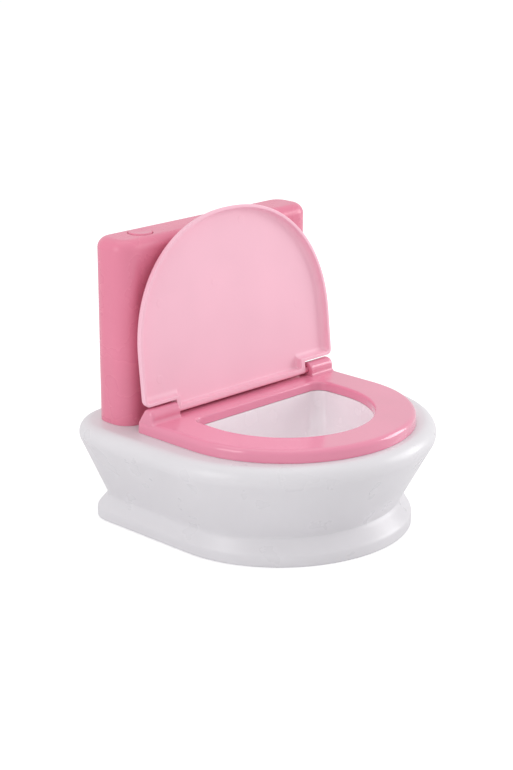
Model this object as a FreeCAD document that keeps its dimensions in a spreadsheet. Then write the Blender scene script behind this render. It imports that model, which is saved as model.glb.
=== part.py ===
import FreeCAD, Part
import math, os
from FreeCAD import Vector as V, Rotation, Placement

# Small toilet-shaped toy potty.  Millimetres.
# +X to the right of someone facing it, front towards -Y, +Z up.
# Origin: centre of the footprint on the floor.

doc = FreeCAD.newDocument("toy_potty")
sheet = doc.addObject("Spreadsheet::Sheet", "Dims")
_row = [1]


def dim(alias, value, note):
    n = _row[0]
    sheet.set("A%d" % n, alias)
    sheet.set("B%d" % n, str(value))
    sheet.set("C%d" % n, note)
    sheet.setAlias("B%d" % n, alias)
    _row[0] += 1


# white body: widest outline just under the deck edge
dim("body_half", 89.65, "half width at the widest outline")
dim("body_join", -5.35, "y where the front curve meets the straight sides")
dim("body_front", 83.8, "front semi-axis of the curve, from body_join")
dim("body_back", 89.14, "back face of the widest outline")
dim("body_corner", 34.3, "back corner radius of the widest outline")
dim("deck_z", 60.2, "deck top")
dim("edge_round", 7.36, "round on the deck edge")
dim("waist_z", 14.5, "crease between body and plinth")
dim("waist_half", 71.35, "half width at the crease")
dim("waist_front", 63.5, "front semi-axis at the crease")
dim("waist_back", 75.94, "back face at the crease")
dim("waist_corner", 17.0, "back corner radius at the crease")
dim("foot_half", 75.25, "half width at the floor")
dim("foot_front", 71.9, "front semi-axis at the floor")
dim("foot_back", 82.6, "back face at the floor")
dim("foot_corner", 19.0, "back corner radius at the floor")
dim("wall", 2.6, "wall of the white mouldings")
# seat
dim("seat_half", 74.2, "half width of the seat")
dim("seat_join", -8.0, "y where the seat curve meets its straight sides")
dim("seat_front", 71.9, "front semi-axis of the seat")
dim("seat_back", 37.4, "back face of the seat")
dim("seat_rise", 7.0, "seat height above the deck")
dim("seat_corner", 3.4, "back corner radius of the seat")
dim("seat_shoulder", 3.0, "round along the top outer edge")
dim("hole_half", 51.6, "half width of the seat opening")
dim("hole_join", -3.3, "y where the opening's curve meets its straight sides")
dim("hole_front", 53.9, "front semi-axis of the opening")
dim("hole_back", 16.1, "back edge of the opening")
dim("hole_corner", 7.5, "back corner radius of the opening")
dim("seat_skin", 2.4, "wall of the seat moulding")
# lid and hinge
dim("axis_y", 28.77, "hinge axis")
dim("axis_z", 70.3, "hinge axis")
dim("lid_tilt", 5.96, "degrees the open lid leans back")
dim("lid_half", 75.0, "half width of the lid")
dim("lid_low", 5.75, "lower edge of the lid above the axis")
dim("lid_straight", 31.87, "top of the straight sides above the axis")
dim("lid_top", 106.65, "top of the lid above the axis")
dim("lid_power", 2.148, "fullness of the lid's round end")
dim("lid_deep", 6.2, "depth of the lid tray")
dim("lid_rim", 1.9, "rim thickness")
dim("lid_panel", 2.0, "panel thickness")
dim("lid_back_round", 4.6, "round on the outside back edge of the lid")
dim("lid_in_round", 3.0, "round inside between rim and panel")
dim("bar_round", 1.8, "half thickness of the hinge bar")
dim("bar_half", 51.8, "half length of the hinge bar with its ears")
dim("ear_thick", 3.1, "thickness of the two ears")
dim("pin_rad", 1.7, "hinge stub radius")
dim("pin_gap", 0.08, "radial running gap at the stubs")
dim("barrel_rad", 4.6, "hinge barrel radius")
dim("barrel_fillet", 2.2, "hollow round between barrel and seat top")
dim("barrel_l0", -74.0, "left barrel outer end")
dim("barrel_l1", -52.3, "left barrel inner end")
dim("barrel_r0", 54.2, "right barrel inner end")
dim("barrel_r1", 74.0, "right barrel outer end")
# bowl
dim("bowl_grow", 1.6, "outside of the bowl rim beyond the seat opening")
dim("bowl_rim_z", 61.7, "bowl rim, just under the inner wall of the seat")
dim("bowl_floor_z", 17.0, "underside of the bowl")
dim("bowl_wall", 1.8, "wall of the bowl")
# cistern
dim("tank_half", 74.5, "half width of the cistern")
dim("tank_front", 45.2, "front face")
dim("tank_back", 73.1, "back face")
dim("tank_top", 166.0, "top")
dim("tank_corner", 11.0, "vertical corner radius")
dim("tank_edge", 6.2, "top edge radius")
dim("tank_wall", 2.4, "wall of the cistern")
dim("cover_skin", 2.2, "back cover thickness")
# flush button
dim("button_x", -48.8, "button centre")
dim("button_y", 59.2, "button centre")
dim("button_rad", 6.8, "button cap radius")
dim("button_hole", 7.15, "hole in the tank top")
dim("button_proud", 0.6, "cap height above the tank top")
dim("button_travel", 2.5, "button stroke")
dim("stem_rad", 2.4, "stem radius")
dim("guide_gap", 0.07, "radial running gap at the stem")
# electrics
dim("cell_rad", 5.2, "battery cell radius")
dim("cell_len", 44.0, "battery cell length")
dim("cell_y", 46.0, "middle of the cell pair")
dim("speaker_x", 26.0, "speaker centre")
dim("speaker_z", 112.0, "speaker centre")
dim("speaker_rad", 14.0, "speaker frame radius")
dim("knob_x", -24.0, "power slider at off")
dim("knob_z", 96.0, "power slider height")
dim("knob_travel", 3.2, "power slider travel")
# fasteners
dim("screw_rad", 1.3, "shank radius")
dim("screw_hole", 1.36, "hole for the shank")
dim("head_rad", 2.7, "screw head radius")
dim("head_thick", 1.8, "screw head height")
dim("post_rad", 4.2, "screw post radius")
doc.recompute()


def d(alias):
    return float(getattr(sheet, alias))


NODES = []


def keep(obj, label):
    obj.Label = label
    NODES.append(obj)
    return obj


# ---------------------------------------------------------------- helpers
def plane(body, role):
    return [f for f in body.Origin.OriginFeatures if f.Role == role][0]


def sketch(body, name, role, offset=None):
    sk = body.newObject("Sketcher::SketchObject", name)
    sk.AttachmentSupport = [(plane(body, role), "")]
    sk.MapMode = "FlatFace"
    if offset is not None:
        sk.setExpression("AttachmentOffset.Base.z", offset)
    return sk


def at(sk, geo, pos, ex, ey):
    """hold one point of a sketch at sheet-driven coordinates"""
    import Sketcher
    for kind, expr in (("DistanceX", ex), ("DistanceY", ey)):
        if expr in ("0", 0):
            sk.addConstraint(Sketcher.Constraint("PointOnObject", geo, pos, -2 if kind == "DistanceX" else -1))
            continue
        p = sk.getPoint(geo, pos)
        v = p.x if kind == "DistanceX" else p.y
        i = sk.addConstraint(Sketcher.Constraint(kind, -1, 1, geo, pos, v))
        sk.setExpression("Constraints[%d]" % i, expr)


def poly(sk, pts):
    """closed polygon; pts = [(expr_x, expr_y, rough_x, rough_y)]"""
    import Sketcher
    n = len(pts)
    ids = []
    for i in range(n):
        a, b = pts[i], pts[(i + 1) % n]
        ids.append(sk.addGeometry(Part.LineSegment(V(a[2], a[3], 0), V(b[2], b[3], 0)), False))
    for i in range(n):
        sk.addConstraint(Sketcher.Constraint("Coincident", ids[i], 2, ids[(i + 1) % n], 1))
    for i in range(n):
        at(sk, ids[i], 1, pts[i][0], pts[i][1])
    return ids


def circle(sk, ex, ey, er, x, y, r):
    import Sketcher
    g = sk.addGeometry(Part.Circle(V(x, y, 0), V(0, 0, 1), r), False)
    at(sk, g, 3, ex, ey)
    i = sk.addConstraint(Sketcher.Constraint("Radius", g, r))
    sk.setExpression("Constraints[%d]" % i, er)
    return g


def spin(label, pts, place):
    """revolved piece: profile in the XZ plane about Z; pts as for poly"""
    body = doc.addObject("PartDesign::Body", label)
    sk = sketch(body, label + "_profile", "XZ_Plane")
    poly(sk, pts)
    rev = body.newObject("PartDesign::Revolution", label + "_turn")
    rev.Profile = sk
    rev.ReferenceAxis = (sk, ["V_Axis"])
    rev.Angle = 360.0
    body.Tip = rev
    setplace(body, place)
    return body


def setplace(obj, place):
    for ax, ex in zip("xyz", place[:3]):
        if ex not in ("0", 0, None):
            obj.setExpression("Placement.Base." + ax, str(ex))
    if len(place) > 3:
        obj.Placement = Placement(obj.Placement.Base, place[3])
        for ax, ex in zip("xyz", place[:3]):
            if ex not in ("0", 0, None):
                obj.setExpression("Placement.Base." + ax, str(ex))


def box(name, x0, y0, z0, lx, ly, lz):
    b = doc.addObject("Part::Box", name)
    for prop, ex in (("Length", lx), ("Width", ly), ("Height", lz)):
        b.setExpression(prop, str(ex))
    setplace(b, (x0, y0, z0))
    return b


def cyl(name, r, length, x, y, z, rot=None):
    c = doc.addObject("Part::Cylinder", name)
    c.setExpression("Radius", str(r))
    c.setExpression("Height", str(length))
    setplace(c, (x, y, z) if rot is None else (x, y, z, rot))
    return c


def fuse(name, objs):
    f = doc.addObject("Part::MultiFuse", name)
    f.Shapes = objs
    return f


def cut(name, a, b):
    c = doc.addObject("Part::Cut", name)
    c.Base = a
    c.Tool = b
    return c


X_UP = Rotation(V(0, 1, 0), 90)      # cylinder axis along +X
Y_UP = Rotation(V(1, 0, 0), -90)     # cylinder axis along +Y


def dwire(half, join, semi, back, corner, z, inset=0.0):
    """D outline: half ellipse in front, straight sides, round back corners"""
    a, b = half - inset, semi - inset
    yb, r = back - inset, max(corner - inset, 0.6)
    e = Part.Ellipse(V(0, join, z), max(a, b), min(a, b))
    if a >= b:
        arc = Part.ArcOfEllipse(e, math.pi, 2 * math.pi)
        fr = arc.toShape()
    else:
        e = Part.Ellipse(V(0, join - b, z), V(a, join, z), V(0, join, z))
        arc = Part.ArcOfEllipse(e, -math.pi / 2, math.pi / 2)
        fr = arc.toShape()
    p = [V(a, join, z), V(a, yb - r, z), V(a - r, yb, z), V(-a + r, yb, z), V(-a, yb - r, z), V(-a, join, z)]
    k = r * (1 - math.sqrt(0.5))
    edges = [fr,
             Part.makeLine(p[0], p[1]),
             Part.Arc(p[1], V(a - k, yb - k, z), p[2]).toShape(),
             Part.makeLine(p[2], p[3]),
             Part.Arc(p[3], V(-a + k, yb - k, z), p[4]).toShape(),
             Part.makeLine(p[4], p[5])]
    return Part.Wire(Part.__sortEdges__(edges))


def prism(wire, dz):
    return Part.Face(wire).extrude(V(0, 0, dz))


def loft(wires, ruled=True):
    return Part.makeLoft(wires, True, ruled)


def tube(x, y, z0, z1, r):
    return Part.makeCylinder(r, z1 - z0, V(x, y, z0))


def feature(label, shape, place=None):
    f = doc.addObject("Part::Feature", label)
    f.Shape = shape
    f.Placement = place if place is not None else Placement()
    return f


# ------------------------------------------------------------- white body
zt, zw, R, w = d("deck_z"), d("waist_z"), d("edge_round"), d("wall")


def slope(wide, narrow):
    """wall run-out per millimetre, tangent to the deck-edge round"""
    m = 0.5
    for _ in range(30):
        c, s = 1 / math.hypot(1, m), m / math.hypot(1, m)
        m = ((wide - R + R * c) - narrow) / ((zt - R - R * s) - zw)
    return m


m_side = slope(d("body_half"), d("waist_half"))
m_front = slope(d("body_front"), d("waist_front"))
m_back = slope(d("body_back"), d("waist_back"))


def bodywire(z, inset=0.0):
    k = z - zw
    f = k / (zt - zw)
    return dwire(d("waist_half") + m_side * k, d("body_join"), d("waist_front") + m_front * k,
                 d("waist_back") + m_back * k,
                 d("waist_corner") + (d("body_corner") + 3.0 - d("waist_corner")) * f, z, inset)


POSTS = [(-58.0, 52.0), (58.0, 52.0), (-52.0, -38.0), (52.0, -38.0)]
TANK_POSTS = [(-60.0, 60.0), (60.0, 60.0)]
SEAT_POSTS = [(-62.0, 12.0), (62.0, 12.0), (-48.0, -52.0), (48.0, -52.0)]

outer = loft([bodywire(zw), bodywire(zt)])
top_edges = [e for e in outer.Edges if all(abs(v.Point.z - zt) < 1e-6 for v in e.Vertexes)]
outer = outer.makeFillet(R, top_edges)
zk = zt - R - 2.4
inner = loft([bodywire(zw - 1.0, w + 0.3), bodywire(zk, w + 0.3), bodywire(zt - w, w + 8.4)])
shell = outer.cut(inner)
bg = d("bowl_grow")
opening = prism(dwire(d("hole_half"), d("hole_join"), d("hole_front"), d("hole_back"), d("hole_corner"), zt - 2 * w, -bg - 0.3), 3 * w)
shell = shell.cut(opening)
posts = [tube(x, y, zw, zt - 0.5 * w, d("post_rad")) for x, y in POSTS]
shell = shell.fuse(posts)
for x, y in POSTS:
    shell = shell.cut(tube(x, y, zw - 1, zw + 12, d("screw_hole")))
for x, y in TANK_POSTS + SEAT_POSTS:
    shell = shell.cut(tube(x, y, zt - 2 * w, zt + 1, d("screw_hole") + 0.2))
# lead-through for the leads from the battery tray to the tank
shell = shell.cut(tube(0.0, 59.0, zt - 2 * w, zt + 1, 3.0))
base_shell = keep(feature("base_shell", shell.removeSplitter()), "base_shell")

# ---------------------------------------------------------------- plinth
def footwire(z, inset=0.0):
    f = math.sqrt(max(0.0, 1 - (z / zw) ** 2))
    g = lambda a, b: d(a) + (d(b) - d(a)) * f
    return dwire(g("waist_half", "foot_half"), d("body_join"), g("waist_front", "foot_front"),
                 g("waist_back", "foot_back"),
                 g("waist_corner", "foot_corner"), z, inset)


zs = [zw * math.sin(math.radians(a)) for a in (0, 15, 30, 45, 58, 70, 80, 86, 90)]
plinth = loft([footwire(z) for z in zs], ruled=True)
hollow = prism(dwire(d("waist_half"), d("body_join"), d("waist_front"), d("waist_back"), d("waist_corner"), 2.4, w), zw)
plinth = plinth.cut(hollow)
plinth = plinth.fuse([tube(x, y, 0.0, zw, d("post_rad") + 0.6) for x, y in POSTS])
for x, y in POSTS:
    plinth = plinth.cut(tube(x, y, -1, zw + 1, d("screw_hole") + 0.2))
    plinth = plinth.cut(tube(x, y, -1, 7.0, d("head_rad") + 0.3))
cy = d("cell_y")
door_hole = Part.makeBox(2 * 29.0, 2 * 12.0, 6, V(-29.0, cy - 12.0, -1))
door_step = Part.makeBox(2 * 31.0, 2 * 13.6, 2.1, V(-31.0, cy - 13.6, -1))
plinth = plinth.cut(door_hole).cut(door_step)
# boss for the battery door screw
pad = Part.makeBox(15.0, 10.2, 2.8, V(-7.5, cy - 24.2, 2.3)).fuse(tube(0.0, cy - 18.4, 2.3, 10.0, 3.6))
plinth = plinth.fuse(pad).cut(Part.makeBox(10.4, 9.6, 3.8, V(-5.2, cy - 22.8, -1.0)))
plinth = plinth.cut(tube(0.0, cy - 18.4, -1, 9.0, d("screw_hole")))
plinth_n = keep(feature("plinth", plinth.removeSplitter()), "plinth")

# ------------------------------------------------------------ battery door
door = Part.makeBox(61.4, 26.6, 1.0, V(-30.7, cy - 13.3, 0.1))
door = door.fuse([Part.makeBox(9.8, 8.3, 2.6, V(-4.9, cy - 22.5, 0.1)), Part.makeBox(9.8, 2.0, 1.0, V(-4.9, cy - 14.9, 0.1))])
door = door.cut(tube(0.0, cy - 18.4, -1, 3, d("screw_hole") + 0.2))
door = door.cut(tube(0.0, cy - 18.4, -1, 2.0, d("head_rad") + 0.3))
# finger ribs
for i in range(5):
    door = door.cut(Part.makeBox(16.0, 0.8, 0.35, V(-8.0, cy + 1.0 + 2.2 * i, 0.0)))
battery_door = keep(feature("battery_door", door.removeSplitter()), "battery_door")


# -------------------------------------------------------------------- bowl
bh, bs, bw, zf = d("hole_half") + bg, d("hole_front") + bg, d("bowl_wall"), d("bowl_floor_z")
bj, bk, bc = d("hole_join"), d("hole_back") + bg, d("hole_corner") + bg
# height, then half width, join, front semi-axis, back and corner taken off the rim outline
STEPS = [(d("bowl_rim_z"), 0.0, 0.0, 0.0, 0.0, 0.0), (50.0, 1.6, -1.0, 1.8, 1.0, 1.4), (38.0, 6.0, -3.6, 6.8, 4.4, 3.0),
         (27.0, 14.0, -7.2, 15.6, 10.6, 3.6), (20.0, 22.0, -10.0, 25.0, 16.8, 2.6), (zf, 29.0, -12.0, 33.0, 22.0, -0.4)]


def bowlsec(step, ins=0.0, up=0.0):
    z, h_, j_, s_, b_, c_ = step
    return dwire(bh - h_ - ins, bj + j_, bs - s_ - ins, bk - b_ - ins, max(bc + c_ - ins, 3.0), z + up)


bo = loft([bowlsec(q) for q in STEPS])
bi = loft([bowlsec(STEPS[0], bw, 0.5)] + [bowlsec(q, bw, 0.0 if q[0] > 30 else bw) for q in STEPS[1:]])
bowl = bo.cut(bi)
# flange welded under the deck
fl = prism(dwire(bh, bj, bs, bk, bc, zt - w - 1.4, -3.2), 1.4)
fl = fl.cut(prism(dwire(bh, bj, bs, bk, bc, zt - w - 3.0, 0.9), 6.0))
bowl = bowl.fuse(fl)
bowl_n = keep(feature("bowl", bowl.removeSplitter()), "bowl")

# -------------------------------------------------------------- seat ring
sk_, sr = d("seat_skin"), d("seat_rise")
z0, z1 = zt, zt + sr


def seatwire(z, inset=0.0):
    return dwire(d("seat_half"), d("seat_join"), d("seat_front"), d("seat_back"), d("seat_corner"), z, inset)


def holewire(z, grow=0.0):
    return dwire(d("hole_half"), d("hole_join"), d("hole_front"), d("hole_back"), d("hole_corner"), z, -grow)


ring = loft([seatwire(z0), seatwire(z1, 0.3)])
te = [e for e in ring.Edges if all(abs(v.Point.z - z1) < 1e-6 for v in e.Vertexes)]
ring = ring.makeFillet(d("seat_shoulder"), te)
ring = ring.cut(prism(holewire(z0 - 1), sr + 2))
ie = []
for e in ring.Edges:
    b_ = e.BoundBox
    if abs(b_.ZMin - z1) < 1e-4 and abs(b_.ZMax - z1) < 1e-4 and b_.XMax <= d("hole_half") + 0.01 and b_.XMin >= -d("hole_half") - 0.01 and b_.YMin > d("hole_join") - d("hole_front") - 0.01 and b_.YMax < d("hole_back") + 0.01:
        ie.append(e)
ring = ring.makeFillet(1.5, ie)
# hollow underside between the two walls
under = prism(seatwire(z0 - 1, sk_ + 0.3), 1 + sr - sk_).cut(prism(holewire(z0 - 2, sk_), sr + 4))
ring = ring.cut(under)
# the inner wall stops on the bowl rim
ring = ring.cut(prism(holewire(z0 - 1, sk_ + 0.6), 1 + d("bowl_rim_z") - zt + 0.2))
ring = ring.fuse([tube(x, y, z0, z1 - 0.5 * sk_, 3.4) for x, y in SEAT_POSTS])
for x, y in SEAT_POSTS:
    ring = ring.cut(tube(x, y, z0 - 1, z0 + 5.2, d("screw_hole")))
ya, za, br = d("axis_y"), d("axis_z"), d("barrel_rad")
pr = d("pin_rad") + d("pin_gap")
# each barrel stands on the seat as one soft hump: hollow round in front, sloping back behind
rf = d("barrel_fillet")
yf0 = ya - math.sqrt((br + rf) ** 2 - (za - z1 - rf) ** 2)
k_ = br / (br + rf)
front_t = (ya + (yf0 - ya) * k_, za + (z1 + rf - za) * k_)
back_p = (d("seat_back") - 0.4, z1 - 1.0)
dy_, dz_ = back_p[0] - ya, back_p[1] - za
ta = math.atan2(dz_, dy_) + math.acos(br / math.hypot(dy_, dz_))
back_t = (ya + br * math.cos(ta), za + br * math.sin(ta))
fa = 0.5 * (-0.5 * math.pi + math.atan2(front_t[1] - z1 - rf, front_t[0] - yf0))


def hump(x0_, x1_):
    q = lambda y, z: V(x0_, y, z)
    es = [Part.Arc(q(yf0, z1), q(yf0 + rf * math.cos(fa), z1 + rf + rf * math.sin(fa)), q(*front_t)).toShape(),
          Part.Arc(q(*front_t), q(ya, za + br), q(*back_t)).toShape(),
          Part.makeLine(q(*back_t), q(*back_p)), Part.makeLine(q(*back_p), q(back_p[0], z1 - sk_)),
          Part.makeLine(q(back_p[0], z1 - sk_), q(yf0, z1 - sk_)), Part.makeLine(q(yf0, z1 - sk_), q(yf0, z1))]
    return Part.Face(Part.Wire(Part.__sortEdges__(es))).extrude(V(x1_ - x0_, 0, 0))


for a, b_, inner_x in ((d("barrel_l0"), d("barrel_l1"), "max"), (d("barrel_r0"), d("barrel_r1"), "min")):
    c = hump(a, b_)
    x_out = a if inner_x == "max" else b_
    x_in = b_ if inner_x == "max" else a
    for xe, rr_ in ((x_out, 2.4), (x_in, 0.6)):
        oe = [e for e in c.Edges if e.BoundBox.XLength < 1e-6 and abs(e.BoundBox.XMin - xe) < 1e-6
              and e.BoundBox.ZMax > za + 1.0]
        c = c.makeFillet(rr_, oe)
    ring = ring.fuse(c)
    dx = -7.0 if inner_x == "max" else 7.0
    ring = ring.cut(Part.makeCylinder(pr, 8.0, V(min(x_in + dx, x_in - dx / 7.0), ya, za), V(1, 0, 0)))
seat_n = keep(feature("seat_ring", ring.removeSplitter()), "seat_ring")

# --------------------------------------------------------------------- lid
# built upright about the hinge axis, then leaned back by lid_tilt
lh, s0, s1, s2, pw = d("lid_half"), d("lid_low"), d("lid_straight"), d("lid_top"), d("lid_power")
yf, yb = -d("bar_round"), -d("bar_round") + d("lid_deep")


def lidwire(y, inset, low=None):
    """tombstone outline in the plane y = const, superellipse end"""
    a, t = lh - inset, s2 - inset
    b = t - s1
    lo = (s0 + inset) if low is None else low
    pts = []
    n = 28
    for i in range(n + 1):
        u = math.pi * i / n
        c, s = math.cos(u), math.sin(u)
        x = a * math.copysign(abs(c) ** (2.0 / pw), c)
        z = s1 + b * abs(s) ** (2.0 / pw)
        pts.append(V(x, y, z))
    crv = Part.BSplineCurve()
    crv.interpolate(Points=pts, InitialTangent=V(0, 0, 1), FinalTangent=V(0, 0, -1))
    rc = max(3.2 - inset, 2.0)
    k = rc * (1 - math.sqrt(0.5))
    e = [crv.toShape(),
         Part.makeLine(V(-a, y, s1), V(-a, y, lo + rc)),
         Part.Arc(V(-a, y, lo + rc), V(-a + k, y, lo + k), V(-a + rc, y, lo)).toShape(),
         Part.makeLine(V(-a + rc, y, lo), V(a - rc, y, lo)),
         Part.Arc(V(a - rc, y, lo), V(a - k, y, lo + k), V(a, y, lo + rc)).toShape(),
         Part.makeLine(V(a, y, lo + rc), V(a, y, s1))]
    return Part.Wire(Part.__sortEdges__(e))


# rounded back edge, then straight drafted rim
Ro, Ri = d("lid_back_round"), d("lid_in_round")
lid = loft([lidwire(yf, 0.0)] + [lidwire(yb - Ro + Ro * math.sin(math.radians(q)), 0.2 + Ro * (1 - math.cos(math.radians(q))))
                                 for q in (0, 15, 30, 45, 60, 75, 90)])
rim = d("lid_rim")
yp = yb - d("lid_panel")
# soft inner corner between rim and panel
tray = loft([lidwire(yf - 1.0, rim - 0.1)] + [lidwire(yp - Ri + Ri * math.sin(math.radians(q)), rim + 0.2 + Ri * (1 - math.cos(math.radians(q))))
                                             for q in (0, 22, 45, 68, 90)])
lid = lid.cut(tray)
# the tray runs on down to the hinge bar between two ears
bl, brd, et = d("bar_half"), d("bar_round"), d("ear_thick")


def slab(pts, x0, x1):
    w_ = Part.makePolygon([V(x0, *q) for q in pts + [pts[0]]])
    return Part.Face(w_).extrude(V(x1 - x0, 0, 0))


tongue = slab([(-brd, 0.0), (-brd, s0 + 6.0), (yb, s0 + 6.0), (yb, 0.8), (yb - 0.75, -1.05), (yb - 2.6, -brd), (0.0, -brd)], -bl, bl)
tongue = tongue.fuse(Part.makeCylinder(brd, 2 * bl, V(-bl, 0, 0), V(1, 0, 0)))
lid = lid.fuse(tongue)
lid = lid.cut(slab([(-brd - 1, brd), (yp - 1.0, brd), (yp - 0.3, brd + 0.3), (yp, brd + 1.0), (yp, s0 + 9.0), (-brd - 1, s0 + 9.0)], -bl + et, bl - et))
for a, b_ in ((-bl - 5.4, -bl + 0.5), (bl - 0.5, d("barrel_r0") + 5.4)):
    lid = lid.fuse(Part.makeCylinder(d("pin_rad"), b_ - a, V(a, 0, 0), V(1, 0, 0)))
lid = lid.removeSplitter()
tilt = Placement(V(0, ya, za), Rotation(V(1, 0, 0), -d("lid_tilt")))
lid_n = keep(feature("lid", lid, tilt), "lid")

# ------------------------------------------------------- cistern mouldings
th_, tf, tb, tt, tw = d("tank_half"), d("tank_front"), d("tank_back"), d("tank_top"), d("tank_wall")
tank = Part.makeBox(2 * th_, tb - tf, tt - zt, V(-th_, tf, zt))
ve = [e for e in tank.Edges if e.BoundBox.ZLength > 50]
tank = tank.makeFillet(d("tank_corner"), ve)
te = [e for e in tank.Edges if abs(e.BoundBox.ZMin - tt) < 1e-6 and abs(e.BoundBox.ZMax - tt) < 1e-6]
tank = tank.makeFillet(d("tank_edge"), te)
cav = Part.makeBox(2 * (th_ - tw), tb - tf - tw - 4.6, tt - zt - 2 * tw, V(-th_ + tw, tf + tw, zt + tw))
ve = [e for e in cav.Edges if e.BoundBox.ZLength > 50]
cav = cav.makeFillet(d("tank_corner") - tw, ve)
back_cut = Part.makeBox(2 * (th_ - 12.0), 30, tt - zt - 16.0, V(-th_ + 12.0, tb - 8.0, zt + 6.0))
ve = [e for e in back_cut.Edges if e.BoundBox.YLength > 20]
back_cut = back_cut.makeFillet(5.0, ve)
cs = d("cover_skin")
tank = tank.cut(cav)
tank = tank.cut(back_cut)
cover_slot = Part.makeBox(2 * (th_ - 9.5), cs + 0.2, tt - zt - 11.0, V(-th_ + 9.5, tb - cs - 0.1, zt + 3.5))
ve = [e for e in cover_slot.Edges if e.BoundBox.YLength < 5 and e.BoundBox.XLength < 1e-6 and e.BoundBox.ZLength < 1e-6]
cover_slot = cover_slot.makeFillet(6.0, ve)
cover_slot.translate(V(0, 0.1, 0))
tank = tank.cut(cover_slot)
# mounting bosses down to the deck
for x, y in TANK_POSTS:
    tank = tank.fuse(tube(x, y, zt, zt + 14.0, 3.6))
    tank = tank.cut(tube(x, y, zt - 1, zt + 11.0, d("screw_hole")))
# screw bosses for the back cover
COVER_POSTS = [(-58.0, 81.0), (58.0, 81.0), (-58.0, 131.0), (58.0, 131.0)]
for x, z in COVER_POSTS:
    c = Part.makeCylinder(3.4, tb - cs - 0.0 - tf - tw + 1.0, V(x, tf + tw - 1.0, z), V(0, 1, 0))
    tank = tank.fuse(c)
    tank = tank.cut(Part.makeCylinder(d("screw_hole"), 12.0, V(x, tb - cs - 12.0, z), V(0, 1, 0)))
# button hole and guide sleeve
bx, by = d("button_x"), d("button_y")
tank = tank.cut(tube(bx, by, tt - 10, tt + 1, d("button_hole")))
sleeve = tube(bx, by, 152.0, tt - tw + 0.5, 10.6).cut(tube(bx, by, 150.0, tt - tw, 9.0))
sleeve = sleeve.cut(tube(bx, by, tt - tw - 1, tt + 1, d("button_hole")))
tank = tank.fuse(sleeve)
# shelf brackets for the circuit board
for x in (-66.5, -37.5):
    tank = tank.fuse(Part.makeBox(5.0, 19.0, 4.0, V(x, tf + tw - 1.0, 138.0)))
    tank = tank.cut(tube(x + 2.5, 60.0, 137.0, 143.0, 0.85))
# lead-through in the tank floor
tank = tank.cut(tube(0.0, 59.0, zt - 1, zt + tw + 1, 3.0))
tank_n = keep(feature("cistern_shell", tank.removeSplitter()), "cistern_shell")

# back cover, carries the speaker and the power switch
cov = Part.makeBox(2 * (th_ - 9.8), cs, tt - zt - 11.6, V(-th_ + 9.8, tb - cs, zt + 3.8))
ve = [e for e in cov.Edges if e.BoundBox.YLength > 1 and e.BoundBox.XLength < 1e-6 and e.BoundBox.ZLength < 1e-6]
cov = cov.makeFillet(5.7, ve)
for x, z in COVER_POSTS:
    cov = cov.cut(Part.makeCylinder(d("screw_hole") + 0.2, 10, V(x, tb - 6, z), V(0, 1, 0)))
    cov = cov.cut(Part.makeCylinder(d("head_rad") + 0.3, 1.4, V(x, tb - 1.2, z), V(0, 1, 0)))
sx, sz = d("speaker_x"), d("speaker_z")
grille = [Part.makeCylinder(1.1, 10, V(sx, tb - 6, sz), V(0, 1, 0))]
for rr, n in ((4.2, 6), (8.4, 12)):
    for i in range(n):
        a = 2 * math.pi * i / n
        grille.append(Part.makeCylinder(1.1, 10, V(sx + rr * math.cos(a), tb - 6, sz + rr * math.sin(a)), V(0, 1, 0)))
cov = cov.cut(grille)
for dx in (-18.5, 18.5):
    p = Part.makeCylinder(2.8, 8.2, V(sx + dx, tb - cs - 8.2, sz), V(0, 1, 0))
    cov = cov.fuse(p).cut(Part.makeCylinder(0.85, 6.0, V(sx + dx, tb - cs - 8.3, sz), V(0, 1, 0)))
kx, kz = d("knob_x"), d("knob_z")
cov = cov.cut(Part.makeBox(10.2, 10, 4.2, V(kx - 3.5, tb - 6, kz - 2.1)))
cov_n = keep(feature("cistern_back_cover", cov.removeSplitter()), "cistern_back_cover")

# ---------------------------------------------------------- flush button
zb = "Dims.tank_top"
button = spin("flush_button", [
    ("0", "Dims.button_proud", 0, 0.6), ("Dims.button_rad - 1.2", "Dims.button_proud", 5.6, 0.6),
    ("Dims.button_rad", "Dims.button_proud - 0.9", 6.8, -0.3), ("Dims.button_rad", "-Dims.tank_wall - 0.3", 6.8, -2.7),
    ("Dims.button_rad + 1.7", "-Dims.tank_wall - 0.3", 8.5, -2.7), ("Dims.button_rad + 1.7", "-Dims.tank_wall - 1.7", 8.5, -4.1),
    ("Dims.stem_rad", "-Dims.tank_wall - 1.7", 2.4, -4.1), ("Dims.stem_rad", "-15.8", 2.4, -15.8), ("0", "-15.8", 0, -15.8)],
    ("Dims.button_x", "Dims.button_y", "Dims.tank_top"))
keep(button, "flush_button")

guide = spin("button_guide", [
    ("Dims.stem_rad + Dims.guide_gap", "0", 2.47, 0), ("10.6", "0", 10.6, 0), ("10.6", "1.5", 10.6, 1.5), ("9", "1.5", 9, 1.5),
    ("9", "2.7", 9, 2.7), ("Dims.stem_rad + Dims.guide_gap", "2.7", 2.47, 2.7)],
    ("Dims.button_x", "Dims.button_y", "Dims.tank_top - 15.5"))
keep(guide, "button_guide")

# helical return spring round the stem
zs0, zs1, wr = tt - 15.5 + 2.7, tt - tw - 1.7, 0.35
hx = Part.makeHelix((zs1 - zs0 - 2 * wr) / 4.0, zs1 - zs0 - 2 * wr - 0.02, 4.3)
prof = Part.Wire(Part.makeCircle(wr, V(4.3, 0, 0), V(0, 1, 0)))
spr = Part.Wire(hx.Edges).makePipeShell([prof], True, True)
keep(feature("button_spring", spr, Placement(V(bx, by, zs0 + wr + 0.01), Rotation())), "button_spring")

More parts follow.
